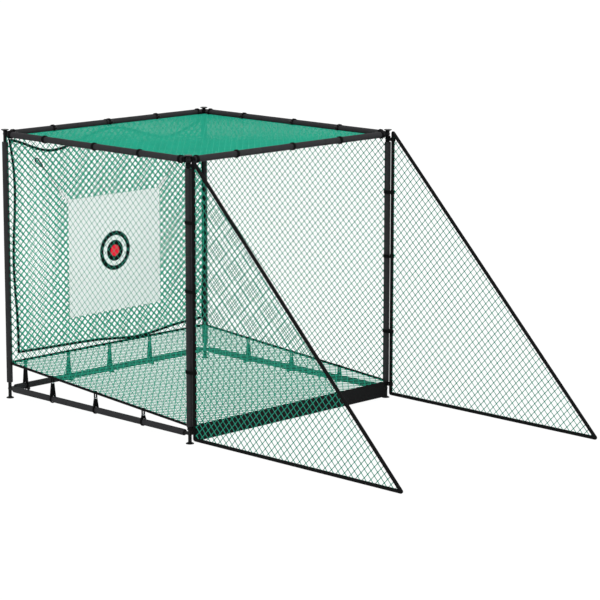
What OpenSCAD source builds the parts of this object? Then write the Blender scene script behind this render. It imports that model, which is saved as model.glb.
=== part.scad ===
// Walk-in golf practice cage. A padded tube frame carries roof, side, back and floor nets, two side
// wings that swing on the front posts, and an impact net with a target sheet clipped to its front.
// The origin is on the ground at the middle of the front opening, +Y runs to the back, +Z is up.

/* [Frame] */
// Width between the upright axes
cage_w = 2112; // [1700:1:2600]
// Depth between the upright axes
cage_d = 2080; // [1700:1:2600]
// Height from the ground to the top plates
cage_h = 2130; // [1750:1:2600]
// Height of the bottom bars' axes
bottom_axis = 76; // [70:1:110]
// Drop from the top plates to the top bars' axes
top_drop = 35; // [30:1:60]

/* [Poles] */
// Outer diameter of the steel tubes
tube_d = 27; // [22:0.5:33]
// Wall of the steel tubes
tube_wall = 1.2; // [0.8:0.1:2]
// Radial play of a plug in a tube's bore
plug_play = 0.1; // [0.05:0.05:0.3]
// Length of a tube's swaged end
swage_len = 50; // [30:1:80]
// Sections in a pole
sections = 3; // [2:1:4]
// Gap between the sections of a tube or of its sleeve
section_gap = 0.3; // [0.2:0.1:0.5]

/* [Foam sleeves] */
// Outer diameter of a foam sleeve
foam_d = 48; // [38:0.5:60]
// Radial play of a sleeve on its tube
foam_play = 0.2; // [0.1:0.1:0.5]
// Chamfer at the ends of a sleeve section
foam_chamfer = 2; // [0.5:0.5:4]

/* [Corner fittings] */
// Bare length from a corner to the sleeve of a bar
bar_arm = 55; // [45:1:80]
// Bare length from a bottom corner to the sleeve of a post
low_arm = 51; // [38:1:65]
// Bare length from a top corner to the sleeve of a post
high_arm = 62; // [56:1:80]
// Length of the plug that enters a tube
plug_len = 60; // [40:1:90]
// Diameter of the hub where the arms meet
hub_d = 32; // [28:1:38]
// Diameter of the foot plates and top plates
plate_d = 60; // [50:1:80]
// Thickness of a plate at its rim
plate_t = 4; // [2:0.5:6]
// Length of the flare behind a plate
flare_len = 9; // [4:1:12]

/* [Nets] */
// Thickness of a net sheet
net_t = 3; // [2:0.5:4]
// Width of a strand
strand = 3; // [2:0.5:6]
// Width of the closed hem round a net
hem = 6; // [4:1:12]
// Gap between a net and the loops that hold it
net_play = 0.4; // [0.3:0.1:1]
// Gap between a wing's net and the loops that it swings past
wing_play = 1.2; // [1:0.1:3]
// Gap between soft pieces that lie against each other
rest_gap = 0.3; // [0.2:0.1:0.5]

/* [Floor net] */
// Diameter of the rope round the floor net
rope_d = 14; // [10:1:18]
// Height of the rope at the front posts
rope_front_z = 134; // [118:1:150]
// Height of the rope at the back posts
rope_back_z = 283; // [220:1:330]
// Height of the front band's lower edge
band_low = 16; // [15:1:40]
// Height of the front band's upper edge
band_top = 140; // [124:1:160]
// Thickness of the front band
band_t = 2; // [1:0.5:4]

/* [Side wings] */
// Distance from a front post's axis to its wing's upright border
wing_gap = 54; // [50:1:75]
// Diameter of the padded border round a wing
border_d = 24; // [18:1:28]
// Height of the bottom border's axis
wing_low = 40; // [30:1:60]
// Drop from the top plates to the wing's apex
apex_drop = 10; // [5:1:60]

/* [Impact net] */
// Distance from the back net's plane to the impact net's plane
impact_gap = 35; // [32:1:60]
// Drop from the top bars' axes to the points where the impact net hangs
hang_drop = 43; // [40:1:60]
// Distance from the side nets to the outer hang points
hang_inset = 13; // [12:1:30]
// Depth of each swag of the top rope
swag = 118; // [60:1:180]
// Level length of the top rope on each side of a hang point
level_len = 45; // [40:1:80]
// Width that each side rope loses toward the bottom
side_taper = 44; // [0:1:80]
// Depth of the pinch in each side rope
side_pinch = 54; // [0:1:90]
// Height of the bottom corners
hem_z = 364; // [350:1:450]
// Even sag of the bottom rope
hem_sag = 16; // [0:1:25]
// Extra slack of the bottom rope on the right
slack_sag = 40; // [0:1:44]
// Play of the hanging loops on the rope
loop_play = 0.8; // [0.5:0.1:1.5]

/* [Target] */
// Width of the target sheet
target_w = 972; // [700:1:1150]
// Height of the target sheet
target_h = 952; // [700:1:1100]
// Thickness of the target sheet and its tabs
target_t = 1.5; // [1:0.5:3]
// Offset of the target's middle to the right
target_x = 24; // [-60:1:60]
// Drop from the top plates to the target's upper edge
target_drop = 613; // [560:1:750]
// Length of a corner tab beyond the sheet
tab_len = 120; // [80:1:150]
// Width of a corner tab
tab_w = 37; // [25:1:50]
// Diameter of the cords from the tabs to the snap hooks
cord_d = 4; // [3:0.5:6]

/* [Snap hooks] */
// How far a hook's lower end lies outside the target's corner
hook_out = 259; // [200:1:300]
// How far a hook's lower end lies above the target's upper edge
hook_up = 293; // [250:1:320]
// Overall length of a hook
hook_len = 98; // [80:1:120]
// Diameter of a hook's wire
wire_d = 7; // [6:0.5:9]
// Radius of the wire's wide end
wide_r = 15.5; // [13:0.5:20]
// Radius of the wire's narrow end
narrow_r = 8.5; // [8:0.5:12]
// Diameter of the gate's rod
gate_d = 6; // [4:0.5:6]
// Diameter of the gate's pin
pin_d = 2.4; // [2:0.1:3]
// Thickness of the gate's knuckle
knuckle_t = 2.8; // [2:0.1:3]

/* [Ball loops] */
// Diameter of the elastic cord
elastic_d = 5; // [4:0.5:7]
// Distance between the two strands of a loop
loop_pitch = 20; // [16:1:25]
// Diameter of a ball
ball_d = 30; // [26:1:36]
// Elevation of the top bars' balls above the inward direction
ball_rise = 24; // [20:1:60]

/* [Hidden] */
$fn = 48;
FRAME_BLACK = "#1b1c1e";
FITTING_BLACK = "#232427";
CORD_BLACK = "#101112";
NET_GREEN = "#1ca97e";
SHEET_WHITE = "#dfe3e4";
STEEL = "#9a9da1";

half_w = cage_w / 2;
top_axis = cage_h - top_drop;
SIDES = [["left", -1], ["right", 1]];
ENDS = [["front", 0], ["back", 1]];
LEVELS = [["bottom", bottom_axis, low_arm, bottom_axis, 1], ["top", top_axis, high_arm, top_drop, -1]];
ALONG_X = [0, 90, 0];
ALONG_Y = [-90, 0, 0];
ALONG_Z = [0, 0, 0];

// Poles: a name, where the sleeve starts, which way it runs and how long it is
post_start = bottom_axis + low_arm;
post_len = top_axis - high_arm - post_start;
bar_x_len = cage_w - 2 * bar_arm;
bar_y_len = cage_d - 2 * bar_arm;
POLES = concat(
    [for (e = ENDS, s = SIDES)
        [str(e[0], "_", s[0], "_post"), [s[1] * half_w, e[1] * cage_d, post_start], ALONG_Z, post_len]],
    [for (l = LEVELS, e = ENDS)
        [str(l[0], "_", e[0], "_bar"), [bar_arm - half_w, e[1] * cage_d, l[1]], ALONG_X, bar_x_len]],
    [for (l = LEVELS, s = SIDES)
        [str(l[0], "_", s[0], "_bar"), [s[1] * half_w, bar_arm, l[1]], ALONG_Y, bar_y_len]]
);
CORNERS = [for (l = LEVELS, e = ENDS, s = SIDES) [str("corner_", l[0], "_", e[0], "_", s[0]), l, e[1], s[1]]];

tube_bore = tube_d - 2 * tube_wall;
plug_d = tube_bore - 2 * plug_play;
foam_bore = tube_d + 2 * foam_play;
foam_r = foam_d / 2;
arm_r = tube_d / 2;
loop_r = elastic_d / 2;
// Room that a loop takes outside what it wraps, and where a net's edge starts
loop_room = rest_gap + elastic_d;
net_edge = foam_r + loop_room + net_play;

// Floor net
rope_r = rope_d / 2;
floor_rise = (rope_back_z - rope_front_z) / cage_d;
floor_angle = atan(floor_rise);
function rope_z(y) = rope_front_z + floor_rise * y;
rope_edge = rope_r + loop_room + 2 * net_play;
front_face = foam_r + rest_gap;
band_half = half_w - foam_r - 1.5;
corner_notch = 46;

// Side wings, drawn with the distance in front of the posts and the height
border_r = border_d / 2;
joint_d = border_d + 2;
wing_reach = cage_d + plate_d / 2;
wing_tip = wing_reach - joint_d / 2;
wing_apex = cage_h - apex_drop - joint_d / 2;
wing_run = wing_tip - wing_gap;
wing_rise = wing_apex - wing_low;
wing_units = 9;

// Impact net, drawn with X and the height
impact_y = cage_d - impact_gap;
hang_x = half_w - hang_inset;
hang_z = top_axis - hang_drop;
pinch_at = 0.21;
slack_x = 0.256 * half_w;
slack_w = 0.312 * half_w;
foot_x = side_x(1);
hang_loops = [-hang_x + 13, -0.028 * half_w, hang_x - 13];
notch_w = elastic_d + 7;
notch_h = rope_r + loop_play + elastic_d + 3;
notch_d = 12;
swag_steps = 10;
side_steps = 9;
foot_steps = 14;
rope_sides = 8;

// Target and snap hooks, drawn with the middle of the target at zero
hook_y = impact_y - net_t / 2 - net_play - wire_d / 2;
target_top = cage_h - target_drop;
corner_x = target_w / 2;
hook_tilt = 45;
hook_dir = [sin(hook_tilt), -cos(hook_tilt)];
hook_low = [-corner_x - hook_out, target_top + hook_up];
narrow_at = hook_low - hook_dir * (narrow_r + wire_d / 2);
hook_span = hook_len - wide_r - narrow_r - wire_d;
wide_at = narrow_at - hook_dir * hook_span;
gate_angle = acos((wide_r - narrow_r) / hook_span);
gate_line = sqrt(hook_span * hook_span - pow(wide_r - narrow_r, 2));
pin_back = 6;
lug_d = 9;
slot_play = 0.2;
pin_play = 0.1;
nose_play = 0.4;
eye_r = wire_d * sqrt(0.5) + cord_d / 2 + rest_gap;
tab_dir = [-sin(hook_tilt), cos(hook_tilt)];
tab_end = [-corner_x, target_top] + tab_dir * tab_len;
tab_lap = 25;
impact_cols = 8;
impact_rows = 10;

// Where the ball loops sit, as shares of the bars
side_ties = [0.0375, 0.25, 0.493, 0.769, 0.9625] * cage_d;
cross_ties = [-0.926, -0.545, 0.006, 0.487, 0.926] * half_w;
floor_side_ties = [0.245, 0.505, 0.748] * cage_d;
floor_back_ties = [-0.849, -0.427, -0.013, 0.403, 0.828] * half_w;
post_ties = [for (share = [0.216, 0.53, 0.795]) post_start + share * post_len];
low_tie = bottom_axis + low_arm - loop_r - rest_gap - loop_pitch / 2;
high_tie = top_axis - high_arm + 22;
// Directions of the post loops' balls: inward and back on the left post, outward and back on the right one
left_ball_at = 45;
right_ball_at = 62;
right_bare_ball_at = 50;
ball_drop = 30;

// Outlines

function cross2(a, b) = a.x * b.y - a.y * b.x;
function sum(list, i = 0) = i < len(list) ? list[i] + sum(list, i + 1) : 0;
function area2(pts) = sum([for (i = [0 : len(pts) - 1]) cross2(pts[i], pts[(i + 1) % len(pts)])]);
function unit(v) = v / norm(v);

// Vector at each corner of an outline that reaches one millimetre inside both of its edges
function mitres(pts) = let (n = len(pts), way = sign(area2(pts)))
    [for (i = [0 : n - 1])
        let (u = unit(pts[i] - pts[(i + n - 1) % n]),
             v = unit(pts[(i + 1) % n] - pts[i]),
             a = way * [-u.y, u.x],
             b = way * [-v.y, v.x])
        (a + b) / (1 + a * b)];
function inset(pts, d) = let (m = mitres(pts)) [for (i = [0 : len(pts) - 1]) pts[i] + d * m[i]];
function low_corner(pts) = [min([for (p = pts) p.x]), min([for (p = pts) p.y])];
function high_corner(pts) = [max([for (p = pts) p.x]), max([for (p = pts) p.y])];
// A rectangle with a notch of depth d and width w in its upper side at x
function notched(low, high, x, w, d) = [low, [high.x, low.y], high,
    [x + w / 2, high.y], [x + w / 2, high.y - d], [x - w / 2, high.y - d], [x - w / 2, high.y], [low.x, high.y]];

// Frame

// A straight round rod between two points
module rod(a, b, d) {
    v = b - a;
    l = norm(v);
    translate(a) rotate([0, acos(v.z / l), atan2(v.y, v.x)]) cylinder(d = d, h = l);
}

// One tube section, with a swaged plug at its far end unless it is the last
module tube_section(l, swaged) {
    ro = tube_d / 2;
    ri = tube_bore / 2;
    rp = plug_d / 2;
    plain = [[ri, 0], [ro, 0], [ro, l], [ri, l]];
    plug = [[rp, l], [rp, l + swage_len], [rp - tube_wall, l + swage_len], [rp - tube_wall, l - tube_wall]];
    rotate_extrude() polygon(swaged ? concat([[ri, 0], [ro, 0], [ro, l]], plug, [[ri, l - tube_wall]]) : plain);
}

module pole_tube(pole) {
    pitch = (pole[3] + section_gap) / sections;
    color(STEEL)
        translate(pole[1]) rotate(pole[2])
            for (i = [0 : sections - 1])
                translate([0, 0, i * pitch]) tube_section(pitch - section_gap, i < sections - 1);
}

module sleeve_section(l) {
    c = foam_chamfer;
    b = foam_bore / 2;
    rotate_extrude()
        polygon([[b, 0], [foam_r - c, 0], [foam_r, c], [foam_r, l - c], [foam_r - c, l], [b, l]]);
}

module pole_sleeve(pole) {
    pitch = (pole[3] + section_gap) / sections;
    color(FRAME_BLACK)
        translate(pole[1]) rotate(pole[2])
            for (i = [0 : sections - 1])
                translate([0, 0, i * pitch]) sleeve_section(pitch - section_gap);
}

// An arm with the plug that enters a tube
module fitting_arm(l) {
    cylinder(d = tube_d, h = l);
    cylinder(d = plug_d, h = l + plug_len);
}

// The stem that carries a foot plate or a top plate
module fitting_stem(l) {
    p = plate_d / 2;
    flare = l - plate_t - flare_len;
    rotate_extrude() polygon([[0, 0], [arm_r, 0], [arm_r, flare], [p, l - plate_t], [p, l], [0, l]]);
}

module corner_fitting(level, end, side) {
    into_cage = end == 0 ? 1 : -1;
    up = level[4];
    color(FITTING_BLACK)
        translate([side * half_w, end * cage_d, level[1]]) union() {
            sphere(d = hub_d);
            rotate([0, -90 * side, 0]) fitting_arm(bar_arm);
            rotate([-90 * into_cage, 0, 0]) fitting_arm(bar_arm);
            rotate([90 - 90 * up, 0, 0]) fitting_arm(level[2]);
            rotate([90 + 90 * up, 0, 0]) fitting_stem(level[3]);
        }
}

// Nets

// Diamond openings on a grid, with one centred on start
module diamonds(start, step, cols, rows) {
    h = 1 - strand / 2 * norm(step) / (step.x * step.y);
    for (i = cols, j = rows)
        if (abs(i + j) % 2 == 0)
            translate([start.x + i * step.x, start.y + j * step.y])
                polygon([[-h * step.x, 0], [0, -h * step.y], [h * step.x, 0], [0, h * step.y]]);
}

// A flat net with a closed hem and a number of grid steps each way
module net_sheet(outline, cols, rows) {
    low = low_corner(outline);
    size = high_corner(outline) - low;
    linear_extrude(net_t, center = true)
        difference() {
            polygon(outline);
            intersection() {
                polygon(inset(outline, hem));
                diamonds(low, [size.x / cols, size.y / rows], [0 : cols], [0 : rows]);
            }
        }
}

module roof_net() {
    color(NET_GREEN)
        translate([0, 0, top_axis])
            net_sheet(notched([net_edge - half_w, net_edge], [half_w - net_edge, cage_d - net_edge],
                hang_loops[1], notch_w, notch_d), 8, 8);
}

// A side net hangs between the posts, from the top bar down to the floor net's rope
module side_net(side) {
    front = net_edge;
    back = cage_d - net_edge;
    top = top_axis - net_edge;
    lift = rope_edge / cos(floor_angle);
    color(NET_GREEN)
        translate([side * half_w, 0, 0]) rotate([90, 0, 90])
            net_sheet([[front, rope_z(front) + lift], [back, rope_z(back) + lift], [back, top], [front, top]], 8, 8);
}

module back_net() {
    color(NET_GREEN)
        translate([0, cage_d, 0]) rotate([90, 0, 0])
            net_sheet(notched([net_edge - half_w, rope_back_z + rope_edge], [half_w - net_edge, top_axis - net_edge],
                hang_loops[1], notch_w, notch_d), 8, 8);
}

// The floor net slopes up to the back, so that a ball rolls to the front band
module floor_net() {
    s = 1 / cos(floor_angle);
    x = half_w - rope_edge;
    nx = half_w - corner_notch;
    front = (-front_face + rest_gap) * s;
    back = (cage_d - rope_edge) * s;
    shoulder = (cage_d - corner_notch) * s;
    low_half = [[-nx, corner_notch], [-nx, front], [nx, front], [nx, corner_notch], [x, corner_notch]];
    high_half = [[x, shoulder], [nx, shoulder], [nx, back], [-nx, back], [-nx, shoulder], [-x, shoulder]];
    color(NET_GREEN)
        translate([0, 0, rope_front_z]) rotate([floor_angle, 0, 0])
            net_sheet(concat(low_half, high_half, [[-x, corner_notch]]), 8, 8);
}

module floor_net_rope() {
    near = foam_r + rest_gap + rope_r * floor_rise;
    far = cage_d - near;
    x = half_w - near;
    color(CORD_BLACK) {
        for (s = SIDES)
            rod([s[1] * half_w, near, rope_z(near)], [s[1] * half_w, far, rope_z(far)], rope_d);
        rod([-x, cage_d, rope_back_z], [x, cage_d, rope_back_z], rope_d);
    }
}

module front_band() {
    color(FRAME_BLACK)
        translate([-band_half, -front_face - band_t, band_low])
            cube([2 * band_half, band_t, band_top - band_low]);
}

// Side wings

// One side of the border, rounded where it starts
module border_side(a, b) {
    rod(a, b, border_d);
    translate(a) sphere(d = joint_d);
}

module wing_border(side) {
    base = [side * half_w, -wing_gap, wing_low];
    apex = [side * half_w, -wing_gap, wing_apex];
    tip = [side * half_w, -wing_tip, wing_low];
    color(CORD_BLACK)
        union() {
            border_side(tip, base);
            border_side(apex, tip);
            border_side(base, apex);
        }
}

// The net fills the border, but leaves room for the loops on the upright
module wing_net(side) {
    near = border_r + loop_room + wing_play;
    edge = border_r + rest_gap;
    share = 1 - edge * norm([1 / wing_run, 1 / wing_rise]);
    corner = [wing_gap + near, wing_low + edge];
    top = [wing_gap + near, wing_low + wing_rise * (share - near / wing_run)];
    toe = [wing_gap + wing_run * (share - edge / wing_rise), wing_low + edge];
    color(NET_GREEN)
        translate([side * half_w, 0, 0]) rotate([90, 0, 90]) mirror([1, 0, 0])
            net_sheet([corner, toe, top], wing_units, wing_units);
}

// Impact net

// Top rope: a swag between two hang points, with t from one to the other
function swag_x(t) = level_len + t * (hang_x - 2 * level_len);
function swag_z(t) = hang_z - swag * pow(sin(180 * t), 2);
// Side rope: t runs from the hang point down to the bottom corner
function side_x(t) = hang_x - side_taper * t - side_pinch * (t / pinch_at) * exp(1 - t / pinch_at);
// Bottom rope: an even sag and more slack on the right
function foot_z(x) = hem_z - hem_sag * cos(90 * x / foot_x) - slack_sag * exp(-pow((x - slack_x) / slack_w, 2));
function side_z(t) = hang_z - t * (hang_z - foot_z(foot_x));

rope_path = concat(
    [[-hang_x, hang_z]],
    [for (i = [0 : swag_steps]) let (t = 1 - i / swag_steps) [-swag_x(t), swag_z(t)]],
    [for (i = [0 : swag_steps]) let (t = i / swag_steps) [swag_x(t), swag_z(t)]],
    [for (i = [0 : side_steps - 1]) let (t = i / side_steps) [side_x(t), side_z(t)]],
    [for (i = [0 : foot_steps - 1]) let (x = foot_x * (1 - 2 * i / foot_steps)) [x, foot_z(x)]],
    [for (i = [0 : side_steps - 1]) let (t = 1 - i / side_steps) [-side_x(t), side_z(t)]]
);

module impact_net_rope() {
    n = len(rope_path);
    m = mitres(rope_path);
    k = rope_sides;
    turn = 180 / k;
    points = [for (i = [0 : n - 1], j = [0 : k - 1])
        let (a = 360 * j / k + turn, p = rope_path[i] + rope_r * cos(a) * m[i])
        [p.x, impact_y + rope_r * sin(a), p.y]];
    function at(i, j) = (i % n) * k + j % k;
    faces = [for (i = [0 : n - 1], j = [0 : k - 1], half = [0, 1])
        half == 0 ? [at(i, j), at(i, j + 1), at(i + 1, j + 1)] : [at(i, j), at(i + 1, j + 1), at(i + 1, j)]];
    color(CORD_BLACK) polyhedron(points, faces);
}

// The grid is set so that two knots lie behind the hooks that the net carries
module impact_net() {
    step = [-2 * wide_at.x / impact_cols, (hang_z - hem_z) / impact_rows];
    start = [target_x + wide_at.x + step.x, wide_at.y];
    color(NET_GREEN)
        translate([0, impact_y, 0]) rotate([90, 0, 0])
            linear_extrude(net_t, center = true)
                difference() {
                    polygon(inset(rope_path, rope_r + rest_gap));
                    intersection() {
                        polygon(inset(rope_path, rope_r + rest_gap + hem));
                        diamonds(start, step, [-3 : impact_cols + 1], [-impact_rows : 2]);
                    }
                    for (x = hang_loops)
                        translate([x - notch_w / 2, hang_z - notch_h]) square([notch_w, 2 * notch_h]);
                }
}

// Loops

// Corners of an arc: outside it, with its facets touching the circle, or on it
function dir(t) = [cos(t), sin(t)];
function arc(c, r, from, to, n, outside) = let (step = (to - from) / n)
    outside ? [for (i = [0 : n - 1]) c + r / cos(step / 2) * dir(from + (i + 0.5) * step)]
            : [for (i = [0 : n]) c + r * dir(from + i * step)];

// The outline of a belt round two circles, the second one dist away along X
function belt_outline(ra, rb, dist, steps, outside) = let (a = acos((ra - rb) / dist))
    concat(arc([0, 0], ra, a, 360 - a, steps[0], outside), arc([dist, 0], rb, -a, a, steps[1], outside));

// A flat belt whose own middle line has the radii ra and rb
module belt(ra, rb, dist, width = elastic_d, steps = [8, 5]) {
    linear_extrude(width, center = true)
        difference() {
            polygon(belt_outline(ra + width / 2, rb + width / 2, dist, steps, false));
            polygon(belt_outline(ra - width / 2, rb - width / 2, dist, steps, true));
        }
}

// A ring round one rod
module ring(r) {
    linear_extrude(elastic_d, center = true)
        difference() {
            circle(r = r + loop_r);
            circle(r = r - loop_r);
        }
}

// The two strands of one ball loop
module strands() {
    for (s = [-1, 1])
        translate([0, 0, s * loop_pitch / 2]) children();
}

// Radius of a loop's middle line on a rod, and how far out the ball sits on its two strands
function on_rod(r, play = rest_gap) = r + play + loop_r;
ball_seat = loop_r + sqrt(pow(ball_d / 2 + rest_gap, 2) - pow(loop_pitch / 2 - loop_r, 2));
module ball(r, angle) {
    rotate([0, 0, angle]) translate([on_rod(r) + ball_seat, 0, 0]) sphere(d = ball_d);
}

// Places what wraps a bar: local X points up, local Z runs along the bar
module on_side_bar(side, y, z) {
    translate([side * half_w, y, z]) rotate([0, -90, 90]) children();
}
module on_cross_bar(x, end, z) {
    translate([x, end * cage_d, z]) rotate([0, -90, 0]) children();
}

module top_bungee_loops() {
    color(CORD_BLACK) {
        for (s = SIDES, y = side_ties)
            on_side_bar(s[1], y, top_axis) strands() ring(on_rod(foam_r));
        for (e = ENDS, x = cross_ties)
            on_cross_bar(x, e[1], top_axis) strands() ring(on_rod(foam_r));
    }
}

module top_bungee_balls() {
    color(FITTING_BLACK) {
        for (s = SIDES, y = side_ties)
            on_side_bar(s[1], y, top_axis) ball(foam_r, s[1] * (90 - ball_rise));
        for (e = ENDS, x = cross_ties)
            on_cross_bar(x, e[1], top_axis) ball(foam_r, (e[1] == 0 ? 1 : -1) * (90 - ball_rise));
    }
}

// Heights on the front posts, each with the radius of what is wrapped there
POST_WRAPS = concat([[low_tie, arm_r], [high_tie, arm_r]], [for (z = post_ties) [z, foam_r]]);

module post_bungee_loops() {
    color(CORD_BLACK)
        for (s = SIDES, w = POST_WRAPS)
            translate([s[1] * half_w, 0, w[0]]) rotate([0, 0, -90]) strands()
                belt(on_rod(w[1]), on_rod(border_r), wing_gap);
}

module post_bungee_balls() {
    color(FITTING_BLACK)
        for (s = SIDES, w = POST_WRAPS)
            translate([s[1] * half_w, 0, w[0]])
                ball(w[1], s[1] < 0 ? left_ball_at : w[1] == arm_r ? right_bare_ball_at : right_ball_at);
}

module floor_bungee_loops() {
    color(CORD_BLACK) {
        for (s = SIDES, middle = floor_side_ties, strand_at = [-0.5, 0.5]) {
            y = middle + strand_at * loop_pitch;
            on_side_bar(s[1], y, bottom_axis) belt(on_rod(foam_r), on_rod(rope_r), rope_z(y) - bottom_axis);
        }
        for (x = floor_back_ties)
            on_cross_bar(x, 1, bottom_axis) strands()
                belt(on_rod(foam_r), on_rod(rope_r), rope_back_z - bottom_axis);
    }
}

module floor_bungee_balls() {
    color(FITTING_BLACK) {
        for (s = SIDES, y = floor_side_ties)
            on_side_bar(s[1], y, bottom_axis) ball(foam_r, s[1] * (90 + ball_drop));
        for (x = floor_back_ties)
            on_cross_bar(x, 1, bottom_axis) ball(foam_r, -(90 + ball_drop));
    }
}

// Single loops that hang the impact net's rope from the back bar and the back corners
module impact_net_loops() {
    reach = norm([hang_drop, impact_gap]);
    way = atan2(-impact_gap, -hang_drop);
    color(CORD_BLACK)
        for (i = [0 : 2])
            on_cross_bar(hang_loops[i], 1, top_axis) rotate([0, 0, way])
                belt(on_rod(i == 1 ? foam_r : arm_r), on_rod(rope_r, loop_play), reach);
}

// Target

// Places children for the left side, or their mirror image for the right
module target_side(side) {
    translate([target_x, 0, 0]) mirror([side > 0 ? 1 : 0, 0, 0]) children();
}

module target_cloth() {
    color(SHEET_WHITE)
        translate([target_x - corner_x, hook_y - target_t / 2, target_top - target_h])
            cube([target_w, target_t, target_h]);
}

// Webbing tabs sewn on the front of the cloth's upper corners
module target_tabs() {
    color(SHEET_WHITE)
        for (s = SIDES)
            target_side(s[1])
                translate([-corner_x, hook_y - target_t / 2, target_top]) rotate([0, -hook_tilt, 0])
                    translate([-tab_w / 2, -target_t, -tab_lap]) cube([tab_w, target_t, tab_len + tab_lap]);
}

// A cord runs from the tab to an eye round the hook's narrow end
module target_cord(side) {
    eye = narrow_at + narrow_r * hook_dir;
    start = eye + eye_r * hook_dir;
    end = tab_end + 2 * rest_gap * tab_dir;
    color(CORD_BLACK)
        target_side(side) union() {
            translate([eye.x, hook_y, eye.y]) rotate([0, 90 - hook_tilt, 0])
                rotate_extrude() translate([eye_r, 0]) circle(d = cord_d);
            rod([start.x, hook_y, start.y], [end.x, hook_y, end.y], cord_d);
        }
}

// Places a hook: local X runs from the wide end to the narrow end, local Z is the pin's axis
module hook_place(side) {
    target_side(side)
        translate([wide_at.x, hook_y, wide_at.y]) rotate([0, 90 - hook_tilt, 0]) rotate([90, 0, 0])
            children();
}

// Places the gate's line: local X runs from the nose to the narrow end
module gate_place() {
    rotate([0, 0, -gate_angle]) translate([wide_r, 0, 0]) rotate([0, 0, 90]) children();
}

// The hook's frame, cut open along the gate's line as far as the pin
module hook_frame(pin_x) {
    difference() {
        belt(wide_r, narrow_r, hook_span, wire_d, [16, 10]);
        gate_place() translate([0, -wire_d, -wire_d]) cube([pin_x, 2 * wire_d, 2 * wire_d]);
    }
}

// The frame ends in two cheeks that hold the gate's pin
module snap_hook(side) {
    pin_x = gate_line - pin_back;
    lug_t = wire_d - 0.6;
    color(FITTING_BLACK)
        hook_place(side) union() {
            difference() {
                union() {
                    hook_frame(pin_x);
                    gate_place() translate([pin_x, 0, 0]) cylinder(d = lug_d, h = lug_t, center = true);
                }
                gate_place() translate([pin_x, 0, 0])
                    cube([lug_d + 1, lug_d + 2, knuckle_t + 2 * slot_play], center = true);
            }
            gate_place() translate([pin_x, 0, 0]) cylinder(d = pin_d, h = lug_t, center = true);
        }
}

module hook_gate(side) {
    pin_x = gate_line - pin_back;
    rod_end = pin_x - lug_d / 2 - 0.7;
    knuckle_r = lug_d / 2 - 0.6;
    color(STEEL)
        hook_place(side) gate_place()
            difference() {
                union() {
                    translate([nose_play, 0, 0]) rotate([0, 90, 0])
                        cylinder(d = gate_d, h = rod_end - nose_play);
                    translate([pin_x, 0, 0]) cylinder(r = knuckle_r, h = knuckle_t, center = true);
                    translate([rod_end - 2, -gate_d / 4, -knuckle_t / 2])
                        cube([pin_x - rod_end + 2, gate_d / 2, knuckle_t]);
                }
                translate([pin_x, 0, 0]) cylinder(d = pin_d + 2 * pin_play, h = knuckle_t + 2, center = true);
            }
}

for (p = POLES) {
    pole_tube(p);
    pole_sleeve(p);
}
for (c = CORNERS)
    corner_fitting(c[1], c[2], c[3]);
roof_net();
side_net(-1);  // left_net
side_net(1);  // right_net
back_net();
floor_net();
floor_net_rope();
front_band();
wing_net(-1);  // left_wing_net
wing_net(1);  // right_wing_net
wing_border(-1);  // left_wing_border
wing_border(1);  // right_wing_border
impact_net();
impact_net_rope();
impact_net_loops();
target_cloth();
target_tabs();
target_cord(-1);  // left_target_cord
target_cord(1);  // right_target_cord
snap_hook(-1);  // left_snap_hook
snap_hook(1);  // right_snap_hook
hook_gate(-1);  // left_hook_gate
hook_gate(1);  // right_hook_gate
top_bungee_loops();
top_bungee_balls();
post_bungee_loops();
post_bungee_balls();
floor_bungee_loops();
floor_bungee_balls();
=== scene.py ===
import math

import bmesh
import bpy
from bpy.props import FloatProperty, FloatVectorProperty, PointerProperty
from mathutils import Matrix, Vector, noise


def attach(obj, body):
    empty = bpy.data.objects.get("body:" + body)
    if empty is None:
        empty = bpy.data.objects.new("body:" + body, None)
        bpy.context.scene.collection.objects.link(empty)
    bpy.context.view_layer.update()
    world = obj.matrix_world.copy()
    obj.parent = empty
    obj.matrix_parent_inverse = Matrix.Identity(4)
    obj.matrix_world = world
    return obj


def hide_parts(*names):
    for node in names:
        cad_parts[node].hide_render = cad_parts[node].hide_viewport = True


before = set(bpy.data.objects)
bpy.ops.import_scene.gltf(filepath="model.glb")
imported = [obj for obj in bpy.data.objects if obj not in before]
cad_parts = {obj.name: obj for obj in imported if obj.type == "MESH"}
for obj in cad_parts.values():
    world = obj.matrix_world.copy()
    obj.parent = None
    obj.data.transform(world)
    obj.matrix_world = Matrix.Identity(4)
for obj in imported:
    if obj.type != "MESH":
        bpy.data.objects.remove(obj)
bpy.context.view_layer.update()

bl_info = {
    "name": "Golf practice cage",
    "version": (1, 0, 0),
    "blender": (4, 5, 0),
    "location": "View3D > Sidebar > Golf cage",
    "description": "Builds the nets, padding, cords, hooks and target of a walk-in golf practice cage on its frame",
    "category": "Object",
}

# Axes of the frame, in metres: X across, Y to the back, Z up
HALF_W = 1.056
DEPTH = 2.080
TOP_Z = 2.095
LOW_Z = 0.076
FOAM_R = 0.024
FOAM_BORE_R = 0.0137
ARM_R = 0.0135
SECTIONS = 3
SECTION_GAP = 0.0003
CORD_STEP = 0.008
# How far a loop's cords lie off what they wrap, and a ball off the bar's axis
PLAY, SEAT = 0.003, 0.0412
# The balls' angles on the top bars, the bottom bars, the left posts, the right posts, and the right posts' arms
TOP_MOUTH, FLOOR_MOUTH, LEFT_MOUTH, RIGHT_MOUTH, ARM_MOUTH = [math.radians(a) for a in (84, 120, 45, 62, 50)]
# Where a corner's lashings start and how many turns they have: on a bar's arm, and on a post's
ARM_LASH, POST_LASH = (0.0185, 4), (-0.058, 5)

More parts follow.
